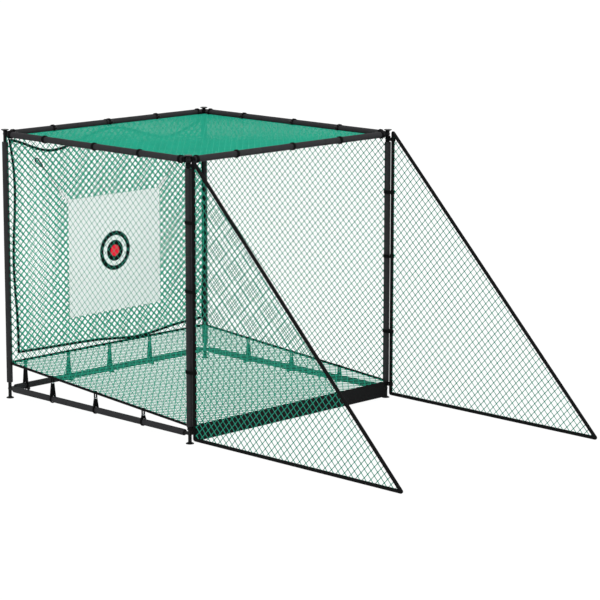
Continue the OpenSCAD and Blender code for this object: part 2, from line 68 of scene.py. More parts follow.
# Nets: a knot of each, how far their edges lie inside the bars' middle, and how far off the roof's and the back's lie
KNOTS = {"roof_net": (-0.042, 0.9872), "left_net": (1.0639, 1.1005), "right_net": (0.4746, 1.4227),
         "back_net": (0.01, 1.20), "floor_net": (0.0, 0.999), "left_wing_net": (1.1289, 0.1986),
         "right_wing_net": (0.7995, 0.6111), "impact_net": (0.0500, 1.2092)}
NET_EDGE, ROOF_EDGE = 0.020, 0.0216
ROOF_DROP, BACK_NET_OUT = 0.019, 0.004

# Poles: where the padding starts, how long it is, and where loops squeeze it
POST_START, POST_LEN = 0.127, 1.906
BAR_ARM, BAR_X_LEN, BAR_Y_LEN = 0.055, 2.002, 1.970
SIDE_TIES = (0.078, 0.520, 1.02544, 1.59952, 2.002)
CROSS_TIES = (-0.977856, -0.57552, 0.006336, 0.514272, 0.977856)
FLOOR_SIDE_TIES = (0.5096, 1.0504, 1.55584)
FLOOR_BACK_TIES = (-0.896544, -0.450912, -0.013728, 0.425568, 0.874368)
POST_TIES = (0.538696, 1.13718, 1.64227)
LOW_TIE, HIGH_TIE = 0.1142, 2.055

# Floor net: a plane that rises to the back, with its corners cut off
ROPE_R, ROPE_END = 0.007, 0.0009
FLOOR_FRONT_Y, FLOOR_CUT_X, FLOOR_CUT_Y = -0.0235, 1.010, 0.046
FLOOR_FRONT_Z, FLOOR_RISE, BACK_ROPE_Z = 0.134, 0.0716346, 0.283
CRIMP_DROP, TIE_STEP, TIE_PLAY = 0.040, 0.0036, 0.0035

# Side wings: the border's corner, apex and tip, in front of the posts, and how far each apex sags
WING_GAP, WING_LOW, WING_APEX, WING_TIP = 0.054, 0.040, 2.107, 2.097
LEFT_SAG, RIGHT_SAG = 0.022, -0.004
BORDER_R, BORDER_BEND = 0.0138, 0.007

# Impact net: where it hangs, and how far its rope lies ahead of it
IMPACT_Y, HANG_X, HANG_Z = 2.045, 1.043, 2.052
ROPE_AHEAD = 0.004
SWAG, SWAG_X = 0.122, 0.620
# How far the rope is drawn in at each share of the way down the side
DRAWN_IN = ((0.0, 0.0), (0.07, 0.020), (0.12, 0.032), (0.17, 0.039), (0.23, 0.044), (0.35, 0.037), (0.45, 0.024),
            (0.55, 0.018), (0.62, 0.019), (0.72, 0.029), (0.82, 0.043), (0.92, 0.050), (1.0, 0.051))
# How far it is folded sideways, how far it bellies back, and how much that varies
FOLD, BELLY, GATHER = 0.008, 0.0058, 0.003
HEM_Z, HEM_SAG, SLACK_SAG = 0.364, 0.016, 0.040
SLACK_X, SLACK_W = 0.256 * HALF_W, 0.312 * HALF_W
# The loops that hang it: where they are, how thick, and how far their middle lies off the bar and off the rope
HANG_LOOPS, HANG_CORD_R, HANG_OFF = (-1.030, -0.029568, 1.030), 0.0025, (0.0028, 0.0033)

# Target: its middle, edges and hooks, drawn for the left side and mirrored for the right
TARGET_X, HOOK_Y = 0.024, 2.0396
TARGET_HALF, TARGET_TOP, TARGET_LOW = 0.486, 1.517, 0.565
TARGET_T = 0.0015
TAB_W, TAB_LEN, TAB_LAP, TAB_T = 0.037, 0.120, 0.025, 0.0016
BULLSEYE = Vector((TARGET_X - 0.004, 0.0, (TARGET_TOP + TARGET_LOW) / 2 + 0.013))
INK_EDGE = 0.0008
DIAGONAL = math.sqrt(0.5)
HOOK_LOW = Vector((-TARGET_HALF - 0.259, TARGET_TOP + 0.293))
WIDE_R, NARROW_R, WIRE_D, HOOK_LEN = 0.0155, 0.0085, 0.007, 0.098
HOOK_SPAN = HOOK_LEN - WIDE_R - NARROW_R - WIRE_D
# The gate's pin: how far up the hook, its size, and the cheeks at its ends
PIN_UP, PIN_R, PIN_LEN = 0.006, 0.0011, 0.0064
CHEEK_R, CHEEK_T, CHEEK_OFF = 0.0045, 0.0016, 0.0024
EYE_CORD_R, KNOT_R = 0.002, 0.0032

# Camera
LENS, CAMERA = 152.677, (-13.381, -13.283, 4.593)
TURN, DIP, ROLL = math.radians(45.401), math.radians(11.001), math.radians(0.119)


def linear(code):
    """The linear colour of an sRGB hex code"""
    parts = [int(code[i:i + 2], 16) / 255 for i in (1, 3, 5)]
    return [p / 12.92 if p <= 0.04045 else ((p + 0.055) / 1.055) ** 2.4 for p in parts]


def length(name, default, description):
    """A size that the panel shows in Blender's units"""
    return FloatProperty(name=name, description=description, default=default, min=0.0, unit="LENGTH",
                         subtype="DISTANCE")


def colour(name, code, description):
    """A colour that the panel shows, from an sRGB hex code"""
    return FloatVectorProperty(name=name, description=description, default=linear(code), size=3, min=0, max=1,
                               subtype="COLOR")


class NetSettings(bpy.types.PropertyGroup):
    """Sizes and colour of the nets"""
    mesh_w: length("Mesh width", 0.0622, "Width of a diamond from knot to knot")
    side_mesh_h: length("Side mesh height", 0.0587, "Height of a diamond in the upright nets")
    wing_mesh_h: length("Wing mesh height", 0.0630, "Height of a diamond in the wings")
    strand: length("Strand", 0.0083, "Thickness of the twine")
    fine_strand: length("Fine strand", 0.0045, "Thickness of the twine in the left net")
    roof_strand: length("Roof strand", 0.00555, "Thickness of the twine in the roof net")
    floor_strand: length("Floor strand", 0.0061, "Thickness of the twine in the floor net")
    back_strand: length("Back strand", 0.0088, "Thickness of the twine in the back net")
    impact_strand: length("Impact strand", 0.0106, "Thickness of the twine in the impact net")
    knot: length("Knot", 0.0060, "Radius of a knot")
    edge: length("Edge cord", 0.0046, "Thickness of the cord along a net's edge")
    colour: colour("Net colour", "#19A688", "Colour of the twine")


class PaddingSettings(bpy.types.PropertyGroup):
    """Sizes and colours of the foam padding, the wing borders and the front band"""
    squeeze: length("Squeeze", 0.0016, "How deep a loop presses into the foam")
    rounding: length("Rounding", 0.0035, "Radius at the ends of a foam section")
    colour: colour("Padding colour", "#232325", "Colour of the padding's cover")
    border_colour: colour("Border colour", "#050506", "Colour of the wing borders")
    band_colour: colour("Band colour", "#121213", "Colour of the front band")


class CordSettings(bpy.types.PropertyGroup):
    """Sizes and colours of the ropes, elastic loops and balls"""
    rope: length("Rope", 0.0205, "Thickness of the ropes")
    elastic: length("Elastic", 0.0078, "Thickness of the elastic cord")
    ball: length("Ball", 0.0135, "Radius of a ball")
    hook_wire: length("Hook wire", 0.0100, "Thickness of the snap hooks' wire")
    target_cord: length("Target cord", 0.0040, "Thickness of the cords that hang the target")
    colour: colour("Cord colour", "#040405", "Colour of the ropes and the elastic")
    fitting_colour: colour("Fitting colour", "#0A0A0B", "Colour of the corner fittings and balls")


class TargetSettings(bpy.types.PropertyGroup):
    """Sizes and colours of the target sheet"""
    outer_ring: length("Outer ring", 0.161, "Outer radius of the outer ring")
    outer_ring_in: length("Outer ring inside", 0.124, "Inner radius of the outer ring")
    inner_ring: length("Inner ring", 0.086, "Outer radius of the inner ring")
    centre: length("Centre", 0.047, "Radius of the middle disc")
    sheet_colour: colour("Sheet colour", "#F4F7F6", "Colour of the sheet")
    ring_colour: colour("Ring colour", "#030404", "Colour of the rings")
    centre_colour: colour("Centre colour", "#F4203C", "Colour of the middle disc")


# Materials


def add(tree, kind, inputs=None, **settings):
    """Adds a node with its settings, its constants and its links"""
    node = tree.nodes.new(kind)
    for name, value in settings.items():
        setattr(node, name, value)
    for name, value in (inputs or {}).items():
        socket = node.inputs[name]
        if isinstance(value, bpy.types.NodeSocket):
            tree.links.new(value, socket)
        else:
            socket.default_value = value
    return node


def surface(name, rough=0.5, shine=0.5, metal=0.0):
    """A new material's tree and shader, with the shader's constants set"""
    material = bpy.data.materials.new(name)
    material.use_nodes = True
    tree = material.node_tree
    shader = tree.nodes["Principled BSDF"]
    shader.inputs["Roughness"].default_value = rough
    shader.inputs["Specular IOR Level"].default_value = shine
    shader.inputs["Metallic"].default_value = metal
    return material, tree, shader


def shaded(rgb, factor):
    """A colour made darker or lighter, with its alpha"""
    return [min(1.0, c * factor) for c in rgb[:3]] + [1.0]


def mottled(tree, where, rgb, dark, light, scale, detail=3.0):
    """The colour with cloudy patches from dark to light, at scale patches a metre"""
    cloud = add(tree, "ShaderNodeTexNoise", {"Vector": where, "Scale": scale, "Detail": detail}).outputs["Fac"]
    return add(tree, "ShaderNodeMix", {0: cloud, 6: shaded(rgb, dark), 7: shaded(rgb, light)},
               data_type="RGBA").outputs[2]


def patchy(name, rgb, rough, shine, patches):
    """A new material in cloudy patches of a colour, and where a point of it is"""
    material, tree, shader = surface(name, rough, shine)
    where = add(tree, "ShaderNodeTexCoord").outputs["Object"]
    tree.links.new(mottled(tree, where, rgb, *patches), shader.inputs["Base Color"])
    return material, tree, shader, where


def threads(tree, shader, where, period, ways, depth, strength):
    """Raises threads that run in one way or cross in two, with so many metres from one to the next"""
    lines = [add(tree, "ShaderNodeTexWave", {"Vector": where, "Scale": math.pi / (10 * period), "Distortion": 0.0},
                 bands_direction=way).outputs["Fac"] for way in ways]
    height = lines[0]
    for line in lines[1:]:
        height = add(tree, "ShaderNodeMath", {0: height, 1: line}, operation="MAXIMUM").outputs[0]
    bump = add(tree, "ShaderNodeBump", {"Height": height, "Distance": depth, "Strength": strength})
    tree.links.new(bump.outputs["Normal"], shader.inputs["Normal"])


def twine(name, rgb, lay, tone=1.0):
    """Twisted polyethylene twine: matt, slightly waxy, with a fine slanting lay and paler worn patches, all made
    lighter or darker by tone as painted light or painted shade
    """
    # tone scales the whole colour: lit and shaded copies of one twine, painted light above 1 and painted shade below 1
    material, tree, shader, where = patchy(name, rgb, 0.6, 0.25, (0.87 * tone, 1.13 * tone, 9.0))
    # The real lay repeats each 3 mm, drawn at 5 mm so that it shows
    threads(tree, shader, where, 0.005, [lay], 0.0005, 0.6)
    return material


def padding_cover(name, rgb):
    """Woven polyester over foam: matt, with a fine basket weave and a little lint"""
    material, tree, shader, where = patchy(name, rgb, 0.75, 0.2, (0.78, 1.22, 24.0, 5.0))
    # Threads lie 0.8 mm apart, drawn at 2.4 mm and more so that they show
    threads(tree, shader, where, 0.0024, ["Z", "DIAGONAL"], 0.0003, 0.5)
    return material


def braid(name, rgb, turns, pitch):
    """Braided polyester cord: satin, with strands that cross in a herringbone, with painted shade in the grooves
    between them and a painted highlight on their crowns
    """
    material, tree, shader = surface(name, 0.65, 0.08)
    where = add(tree, "ShaderNodeUVMap").outputs["UV"]
    strands = []
    for way in (1, -1):
        leaning = add(tree, "ShaderNodeMapping", {"Vector": where, "Scale": (way * turns * 0.1, 0.1 / pitch, 1.0)})
        along = add(tree, "ShaderNodeVectorMath", {0: leaning.outputs["Vector"], 1: (1.0, 1.0, 0.0)},
                    operation="DOT_PRODUCT")
        line = add(tree, "ShaderNodeCombineXYZ", {"X": along.outputs["Value"]})
        strands.append(add(tree, "ShaderNodeTexWave", {"Vector": line.outputs["Vector"], "Scale": math.pi,
                                                       "Distortion": 0.0}).outputs["Fac"])
    cross = add(tree, "ShaderNodeMath", {0: strands[0], 1: strands[1]}, operation="MAXIMUM").outputs[0]
    # The colour follows the strands' height: painted shade in the grooves between strands and painted highlight on
    # their crowns
    tone = add(tree, "ShaderNodeMix", {0: cross, 6: shaded(rgb, 0.55), 7: shaded(rgb, 1.35)}, data_type="RGBA")
    bump = add(tree, "ShaderNodeBump", {"Height": cross, "Distance": 0.0004, "Strength": 0.8})
    tree.links.new(tone.outputs[2], shader.inputs["Base Color"])
    tree.links.new(bump.outputs["Normal"], shader.inputs["Normal"])
    return material


def moulded(name, rgb, rough=0.42):
    """Moulded nylon: dark and satin, with a fine grain from the mould"""
    material, tree, shader, where = patchy(name, rgb, rough, 0.15, (0.85, 1.2, 60.0))
    grain = add(tree, "ShaderNodeTexNoise", {"Vector": where, "Scale": 900.0, "Detail": 2.0}).outputs["Fac"]
    bump = add(tree, "ShaderNodeBump", {"Height": grain, "Distance": 0.00015, "Strength": 0.5})
    tree.links.new(bump.outputs["Normal"], shader.inputs["Normal"])
    return material


def rubbed_metal(name, share, pattern, dark, light, rough):
    """Metal whose colour and roughness follow one pattern of its tree and place"""
    material, tree, shader = surface(name, metal=share)
    spread = pattern(tree, add(tree, "ShaderNodeTexCoord").outputs["Object"])
    tone = add(tree, "ShaderNodeMix", {0: spread, 6: dark, 7: light}, data_type="RGBA")
    dull = add(tree, "ShaderNodeMapRange", {0: spread, 3: rough[0], 4: rough[1]})
    tree.links.new(tone.outputs[2], shader.inputs["Base Color"])
    tree.links.new(dull.outputs[0], shader.inputs["Roughness"])
    return material


def galvanised(name):
    """Galvanised steel: pale grey, with a faint crystal spangle about 8 mm across"""
    def spangle(tree, where):
        cells = add(tree, "ShaderNodeTexVoronoi", {"Vector": where, "Scale": 125.0}).outputs["Color"]
        return add(tree, "ShaderNodeRGBToBW", {"Color": cells}).outputs[0]
    return rubbed_metal(name, 1.0, spangle, linear("#A9ADB0") + [1], linear("#CFD2D4") + [1], (0.32, 0.52))


def blackened(name, code, rough):
    """Blackened steel wire: dark, half bright, rubbed in small patches"""
    def worn(tree, where):
        return add(tree, "ShaderNodeTexNoise", {"Vector": where, "Scale": 160.0, "Detail": 4.0}).outputs["Fac"]
    return rubbed_metal(name, 0.9, worn, shaded(linear(code), 0.7), shaded(linear(code), 1.5),
                        (rough - 0.1, rough + 0.12))


def canvas(name, rgb):
    """Heavy woven polyester: matt black with a visible square weave"""
    material, tree, shader, where = patchy(name, rgb, 0.8, 0.1, (0.85, 1.2, 14.0, 5.0))
    # Threads lie 1 mm apart, drawn at 3 mm so that they show
    threads(tree, shader, where, 0.003, ["X", "Z"], 0.0004, 0.6)
    return material


def printed_sheet(own):
    """Coated polyester sheet: matt off-white with a fine weave, and a bullseye printed in black and red"""
    material, tree, shader = surface("printed_polyester", 0.7, 0.05)
    where = add(tree, "ShaderNodeTexCoord").outputs["Object"]
    sheet = mottled(tree, where, own.sheet_colour, 0.95, 1.03, 5.0)
    flat = add(tree, "ShaderNodeVectorMath", {0: where, 1: (1.0, 0.0, 1.0)}, operation="MULTIPLY").outputs[0]
    away = add(tree, "ShaderNodeVectorMath", {0: flat, 1: BULLSEYE}, operation="DISTANCE").outputs["Value"]
    tone = sheet
    rings = ((own.outer_ring, own.ring_colour), (own.outer_ring_in, None), (own.inner_ring, own.ring_colour),
             (own.centre, own.centre_colour))
    for radius, ink in rings:
        inside = add(tree, "ShaderNodeMapRange", {0: away, 1: radius - INK_EDGE, 2: radius + INK_EDGE, 3: 1.0, 4: 0.0})
        ink = sheet if ink is None else shaded(ink, 1.0)
        tone = add(tree, "ShaderNodeMix", {0: inside.outputs[0], 6: tone, 7: ink}, data_type="RGBA").outputs[2]
    tree.links.new(tone, shader.inputs["Base Color"])
    # Threads lie 0.9 mm apart, drawn at 3 mm so that they show
    threads(tree, shader, where, 0.003, ["X", "Z"], 0.0002, 0.5)
    return material


def webbing(rgb):
    """Polyester webbing: off-white, with ribs about 3 mm apart"""
    material, tree, shader, where = patchy("white_webbing", rgb, 0.7, 0.3, (0.88, 1.02, 40.0))
    # A diagonal in a plane spreads the ribs by 1.4
    threads(tree, shader, where, 0.002, ["DIAGONAL"], 0.0003, 0.7)
    return material


# Pieces


def linked(name, data):
    """A new object in the scene"""
    made = bpy.data.objects.new(name, data)
    bpy.context.scene.collection.objects.link(made)
    return made


def coat(name, material):
    """Gives a node of the frame its material"""
    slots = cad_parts[name].data.materials
    slots.clear()
    slots.append(material)


def piece(name, bm, material, body, nodes=(), angle=40):
    """Turns a bmesh into a piece that rides on a body and stands for the nodes"""
    mesh = bpy.data.meshes.new(name)
    bm.to_mesh(mesh)
    bm.free()
    mesh.materials.append(material)
    mesh.shade_smooth()
    if angle:
        mesh.set_sharp_from_angle(angle=math.radians(angle))
    made = linked(name, mesh)
    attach(made, body)
    if nodes:
        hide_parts(*nodes)
    return made


def place(bm, shape, matrix=Matrix.Identity(4)):
    """Adds a copy of a shape to the mesh"""
    start = len(bm.verts)
    bm.from_mesh(shape)
    bm.verts.ensure_lookup_table()
    bmesh.ops.transform(bm, matrix=matrix, verts=bm.verts[start:])


def as_shape(bm):
    """Turns a bmesh into a mesh that can be placed many times"""
    shape = bpy.data.meshes.new("shape")
    bm.to_mesh(shape)
    bm.free()
    return shape


def turned(points, closed):
    """A frame for each point of a path, turned as little as possible from one to the next"""
    count = len(points)
    frames, before = [], None
    for i, p in enumerate(points):
        ahead = points[(i + 1) % count] if closed or i < count - 1 else p
        behind = points[i - 1] if closed or i else p
        way = (ahead - behind).normalized()
        if before is None:
            spin = Vector((0, 0, 1)).rotation_difference(way)
        else:
            spin = before[1].rotation_difference(way) @ before[0]
        before = (spin, way)
        frames.append(Matrix.Translation(p) @ spin.to_matrix().to_4x4())
    if closed:
        first = frames[0].to_3x3()
        last = before[1].rotation_difference(first.col[2]) @ before[0]
        slip = first.inverted() @ last.to_matrix()
        twist = math.atan2(slip[1][0], slip[0][0])
        frames = [f @ Matrix.Rotation(-twist * i / count, 4, "Z") for i, f in enumerate(frames)]
    return frames


def sweep(bm, points, radius, sides, closed=False):
    """Draws a ring along a path, closes or caps it, and lays a UV map round and along it"""
    frames = turned(points, closed)
    along = bm.verts.layers.float.get("along") or bm.verts.layers.float.new("along")
    around = bm.verts.layers.float.get("around") or bm.verts.layers.float.new("around")
    uv = bm.loops.layers.uv.get("UVMap") or bm.loops.layers.uv.new("UVMap")
    known = set(bm.faces)
    ring = bmesh.ops.create_circle(bm, segments=sides, radius=radius, matrix=frames[0])["verts"]
    for i, vert in enumerate(ring):
        vert[around] = i / sides
    first = list(dict.fromkeys(e for v in ring for e in v.link_edges))
    edges, run = first, 0.0
    for i in range(1, len(points)):
        run += (points[i] - points[i - 1]).length
        made = bmesh.ops.extrude_edge_only(bm, edges=edges)["geom"]
        verts = {g for g in made if isinstance(g, bmesh.types.BMVert)}
        edges = [g for g in made if isinstance(g, bmesh.types.BMEdge) and set(g.verts) <= verts]
        bmesh.ops.transform(bm, matrix=frames[i] @ frames[i - 1].inverted(), verts=list(verts))
        for vert in verts:
            vert[along] = run
    if closed:
        bmesh.ops.bridge_loops(bm, edges=edges + first)
        run += (points[0] - points[-1]).length
    else:
        bmesh.ops.edgeloop_fill(bm, edges=first)
        bmesh.ops.edgeloop_fill(bm, edges=edges)
    new = [f for f in bm.faces if f not in known]
    bmesh.ops.recalc_face_normals(bm, faces=new)
    # A face across the seam keeps its map in one stretch
    for face in new:
        spots = [[loop.vert[around], loop.vert[along]] for loop in face.loops]
        for k, full in ((0, 1.0), (1, run)):
            if max(s[k] for s in spots) - min(s[k] for s in spots) > full / 2:
                for s in spots:
                    s[k] += full if s[k] < full / 2 else 0.0
        for loop, s in zip(face.loops, spots):
            loop[uv].uv = s


def drawn(points, radius, sides, closed=False):
    """A new mesh with one path drawn in it"""
    bm = bmesh.new()
    sweep(bm, points, radius, sides, closed)
    return bm


def spun(profile, steps, matrix=Matrix.Identity(4)):
    """A closed outline of radius and height spun round the Z axis"""
    bm = bmesh.new()
    verts = [bm.verts.new((r, 0.0, z)) for r, z in profile]
    edges = [bm.edges.new(pair) for pair in zip(verts, verts[1:] + verts[:1])]
    bmesh.ops.spin(bm, geom=verts + edges, cent=(0, 0, 0), axis=(0, 0, 1), angle=math.tau, steps=steps, use_merge=True)
    bmesh.ops.remove_doubles(bm, verts=bm.verts, dist=1e-6)
    bmesh.ops.recalc_face_normals(bm, faces=bm.faces)
    bmesh.ops.transform(bm, matrix=matrix, verts=bm.verts)
    return bm


# Padded poles


def poles():
    """Each pole's name, the start and way of its padding, its length, and the loops on it"""
    found = []
    for y, end in ((0.0, "front"), (DEPTH, "back")):
        for x, side in ((-HALF_W, "left"), (HALF_W, "right")):
            ties = [z - POST_START for z in POST_TIES] if end == "front" else []
            found.append((f"{end}_{side}_post", Vector((x, y, POST_START)), "Z", POST_LEN, ties))
    for z, level in ((LOW_Z, "bottom"), (TOP_Z, "top")):
        for y, end in ((0.0, "front"), (DEPTH, "back")):
            ties = CROSS_TIES if level == "top" else FLOOR_BACK_TIES if end == "back" else ()
            found.append((f"{level}_{end}_bar", Vector((BAR_ARM - HALF_W, y, z)), "X", BAR_X_LEN,
                          [x + HALF_W - BAR_ARM for x in ties]))
        for x, side in ((-HALF_W, "left"), (HALF_W, "right")):
            ties = SIDE_TIES if level == "top" else FLOOR_SIDE_TIES
            found.append((f"{level}_{side}_bar", Vector((x, BAR_ARM, z)), "Y", BAR_Y_LEN,
                          [y - BAR_ARM for y in ties]))
    return found


def sleeve_outline(low, high, ties, own):
    """Outline of a foam section: rounded ends, a bore, and a dent under each cord of a loop"""
    r = own.rounding
    # Rings lie about every 80 mm, and every 3 mm near a loop
    heights = {low + r, high - r}
    steps = max(2, round((high - low) / 0.08))
    heights |= {low + r + (high - low - 2 * r) * i / steps for i in range(steps + 1)}
    heights |= {tie + d / 1000 for tie in ties for d in range(-22, 23, 3) if low + r < tie + d / 1000 < high - r}
    outline = [(FOAM_BORE_R, low)]
    outline += [(FOAM_R - r + r * math.sin(a), low + r - r * math.cos(a)) for a in (0.0, 0.5, 1.0)]
    for z in sorted(heights):
        dents = sum(math.exp(-((z - tie - s * CORD_STEP) / 0.0045) ** 2) for tie in ties for s in (-1, 0, 1))
        swell = 0.0003 * noise.noise(Vector((low * 7, z * 9, 0.5)))
        outline.append((FOAM_R - own.squeeze * min(1.0, dents) + swell, z))
    outline += [(FOAM_R - r + r * math.sin(a), high - r + r * math.cos(a)) for a in (1.0, 0.5, 0.0)]
    return outline + [(FOAM_BORE_R, high)]


class CAGE_OT_padding(bpy.types.Operator):
    """Makes the foam padding round each pole, pressed in under its loops"""
    bl_idname = "golf_cage.padding"
    bl_label = "Foam padding"

    def execute(self, context):
        own = context.scene.golf_padding
        cover = padding_cover("polyester_padding", own.colour)
        steel = galvanised("galvanised_steel")
        ways = {"X": Matrix.Rotation(math.pi / 2, 4, "Y"), "Y": Matrix.Rotation(-math.pi / 2, 4, "X"),
                "Z": Matrix.Identity(4)}
        for name, start, way, long, ties in poles():
            pitch = (long + SECTION_GAP) / SECTIONS
            matrix = Matrix.Translation(start) @ ways[way]
            bm = bmesh.new()
            for i in range(SECTIONS):
                low = i * pitch
                outline = sleeve_outline(low, low + pitch - SECTION_GAP, ties, own)
                place(bm, as_shape(spun(outline, 28)), matrix)
            made = piece(f"{name}_padding", bm, cover, "cage", [f"{name}_sleeve"])
            coat(f"{name}_tube", steel)
        return {"FINISHED"}


class CAGE_OT_fittings(bpy.types.Operator):
    """Finishes the corner fittings in moulded nylon"""
    bl_idname = "golf_cage.fittings"
    bl_label = "Corner fittings"

    def execute(self, context):
        nylon = moulded("moulded_nylon", context.scene.golf_cords.fitting_colour)
        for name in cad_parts:
            if name.startswith("corner_"):
                coat(name, nylon)
        return {"FINISHED"}


# Nets


def diamonds(outline, mesh_w, mesh_h, knot):
    """A lattice of diamonds with a knot at the given place, cut along a convex outline that runs anticlockwise"""
    low = Vector((min(p[0] for p in outline), min(p[1] for p in outline)))
    high = Vector((max(p[0] for p in outline), max(p[1] for p in outline)))
    count = math.ceil((high.x - low.x) / mesh_w + (high.y - low.y) / mesh_h) + 4
    middle = (low + high) / 2
    near = Vector(knot) + Vector((round((middle.x - knot[0]) / mesh_w) * mesh_w,
                                  round((middle.y - knot[1]) / mesh_h) * mesh_h))
    bm = bmesh.new()
    bmesh.ops.create_grid(bm, x_segments=count, y_segments=count, size=count / 2)
    lean = Matrix(((mesh_w / 2, -mesh_w / 2, 0, near.x), (mesh_h / 2, mesh_h / 2, 0, near.y), (0, 0, 1, 0),
                   (0, 0, 0, 1)))
    # The middle of a grid with an odd count is half a diamond off a knot
    if count % 2:
        lean = lean @ Matrix.Translation((0.5, 0.5, 0))
    bmesh.ops.transform(bm, matrix=lean, verts=bm.verts)
    for a, b in zip(outline, outline[1:] + outline[:1]):
        out = Vector((b[1] - a[1], a[0] - b[0], 0))
        bmesh.ops.bisect_plane(bm, geom=bm.verts[:] + bm.edges[:] + bm.faces[:], plane_co=(a[0], a[1], 0),
                               plane_no=out, clear_outer=True, dist=1e-5)
    bmesh.ops.remove_doubles(bm, verts=bm.verts, dist=0.002)
    return bm


def strung(bm, put, strand, knot):
    """Moves a flat lattice into place, and gives it strands and knots"""
    for vert in bm.verts:
        vert.co = put(vert.co.x, vert.co.y)
    bm.normal_update()
    crossings = [v.co.copy() for v in bm.verts if not v.is_boundary]
    bmesh.ops.wireframe(bm, faces=bm.faces[:], thickness=strand, use_replace=True, use_boundary=True,
                        use_even_offset=False)
    # Knots are made in small batches, because each takes longer in a larger mesh
    for i in range(0, len(crossings), 40):
        few = bmesh.new()
        for j, p in enumerate(crossings[i:i + 40]):
            bmesh.ops.create_icosphere(few, subdivisions=1, radius=knot,
                                       matrix=Matrix.Translation(p) @ Matrix.Rotation(0.9 * j, 4, "X"))
        bm.from_mesh(as_shape(few))


def edge_cord(bm, outline, put, own):
    """Lays the cord along a net's edge, with a point about every 80 mm"""
    path = []
    for a, b in zip(outline, outline[1:] + outline[:1]):
        run = (Vector(b) - Vector(a)).length
        count = max(1, round(run / 0.08))
        path += [put(*Vector(a).lerp(Vector(b), i / count)) for i in range(count)]
    sweep(bm, path, own.edge / 2, 6, closed=True)


def net(name, outline, put, mesh_h, material, body, own, strand, keep=None):
    """A net in an outline, put in its place, without the meshes whose middle isn't kept"""
    bm = diamonds(outline, own.mesh_w, mesh_h, KNOTS[name])
    if keep:
        off = [f for f in bm.faces if not keep(*f.calc_center_median().xy)]
        bmesh.ops.delete(bm, geom=off, context="FACES")
    strung(bm, put, strand, min(own.knot, 0.9 * strand))
    if not keep:
        edge_cord(bm, outline, put, own)
    piece(name, bm, material, body, [name], angle=0)


def corners(low, high):
    """An upright rectangle's outline, anticlockwise from its low corner"""
    return [low, (high[0], low[1]), high, (low[0], high[1])]


def rope_z(y):
    """Height of the floor net and its side ropes"""
    return FLOOR_FRONT_Z + FLOOR_RISE * y


def bowed(a, b, low, high, depth):
    """How far a net bows at a place, from nothing at its edges to depth in its middle"""
    u = min(1.0, max(0.0, (a - low[0]) / (high[0] - low[0])))
    v = min(1.0, max(0.0, (b - low[1]) / (high[1] - low[1])))
    return depth * math.sin(math.pi * u) * math.sin(math.pi * v)


class CAGE_OT_cage_nets(bpy.types.Operator):
    """Makes the roof, side, back and floor nets from knotted twine"""
    bl_idname = "golf_cage.cage_nets"
    bl_label = "Cage nets"

    def execute(self, context):
        own = context.scene.golf_nets
        # The nets' edges are pressed into the foam and lie along the ropes
        x, top = HALF_W - NET_EDGE, TOP_Z - NET_EDGE
        front, back = NET_EDGE, DEPTH - NET_EDGE
        lift = 0.005
        # Every net's twine is one colour under a tone: painted light on the back net, painted shade on the side nets,
        # and slightly darker on the roof and floor nets
        flat = twine("flat_net_twine", own.colour, "X", 0.98)
        floor = twine("floor_net_twine", own.colour, "X", 0.95)
        upright = twine("back_net_twine_painted_light", own.colour, "Z", 1.1)
        painted_shade_twine = twine("side_net_twine_painted_shade", own.colour, "Z", 0.68)
        # The roof net is tied below the bars' middle
        roof = corners((ROOF_EDGE - HALF_W, ROOF_EDGE), (HALF_W - ROOF_EDGE, DEPTH - ROOF_EDGE))
        net("roof_net", roof, lambda a, b: Vector((a, b, TOP_Z - ROOF_DROP - bowed(a, b, roof[0], roof[2], 0.008))),
            own.wing_mesh_h, flat, "cage", own, own.roof_strand)
        side = [(front, rope_z(front) + lift), (back, rope_z(back) + lift), (back, top), (front, top)]
        for name, out, strand in (("left_net", -1, own.fine_strand), ("right_net", 1, own.strand)):
            net(name, side, lambda a, b: Vector((out * (HALF_W + bowed(a, b, side[0], side[2], 0.003)), a, b)),
                own.side_mesh_h, painted_shade_twine, "cage", own, strand)
        rear = corners((-x, BACK_ROPE_Z + lift), (x, top))
        net("back_net", rear, lambda a, b: Vector((a, DEPTH + BACK_NET_OUT + bowed(a, b, rear[0], rear[2], 0.008), b)),
            own.side_mesh_h, upright, "cage", own, own.back_strand)
        low, high = (lift - HALF_W, FLOOR_FRONT_Y), (HALF_W - lift, DEPTH - lift)
        inner = [(FLOOR_CUT_X, low[1]), (high[0], FLOOR_CUT_Y), (high[0], DEPTH - FLOOR_CUT_Y), (FLOOR_CUT_X, high[1])]
        inner += [(-a, b) for a, b in reversed(inner)]
        net("floor_net", inner, lambda a, b: Vector((a, b, rope_z(b) - bowed(a, b, low, high, 0.016))),
            own.wing_mesh_h, floor, "cage", own, own.floor_strand)
        return {"FINISHED"}


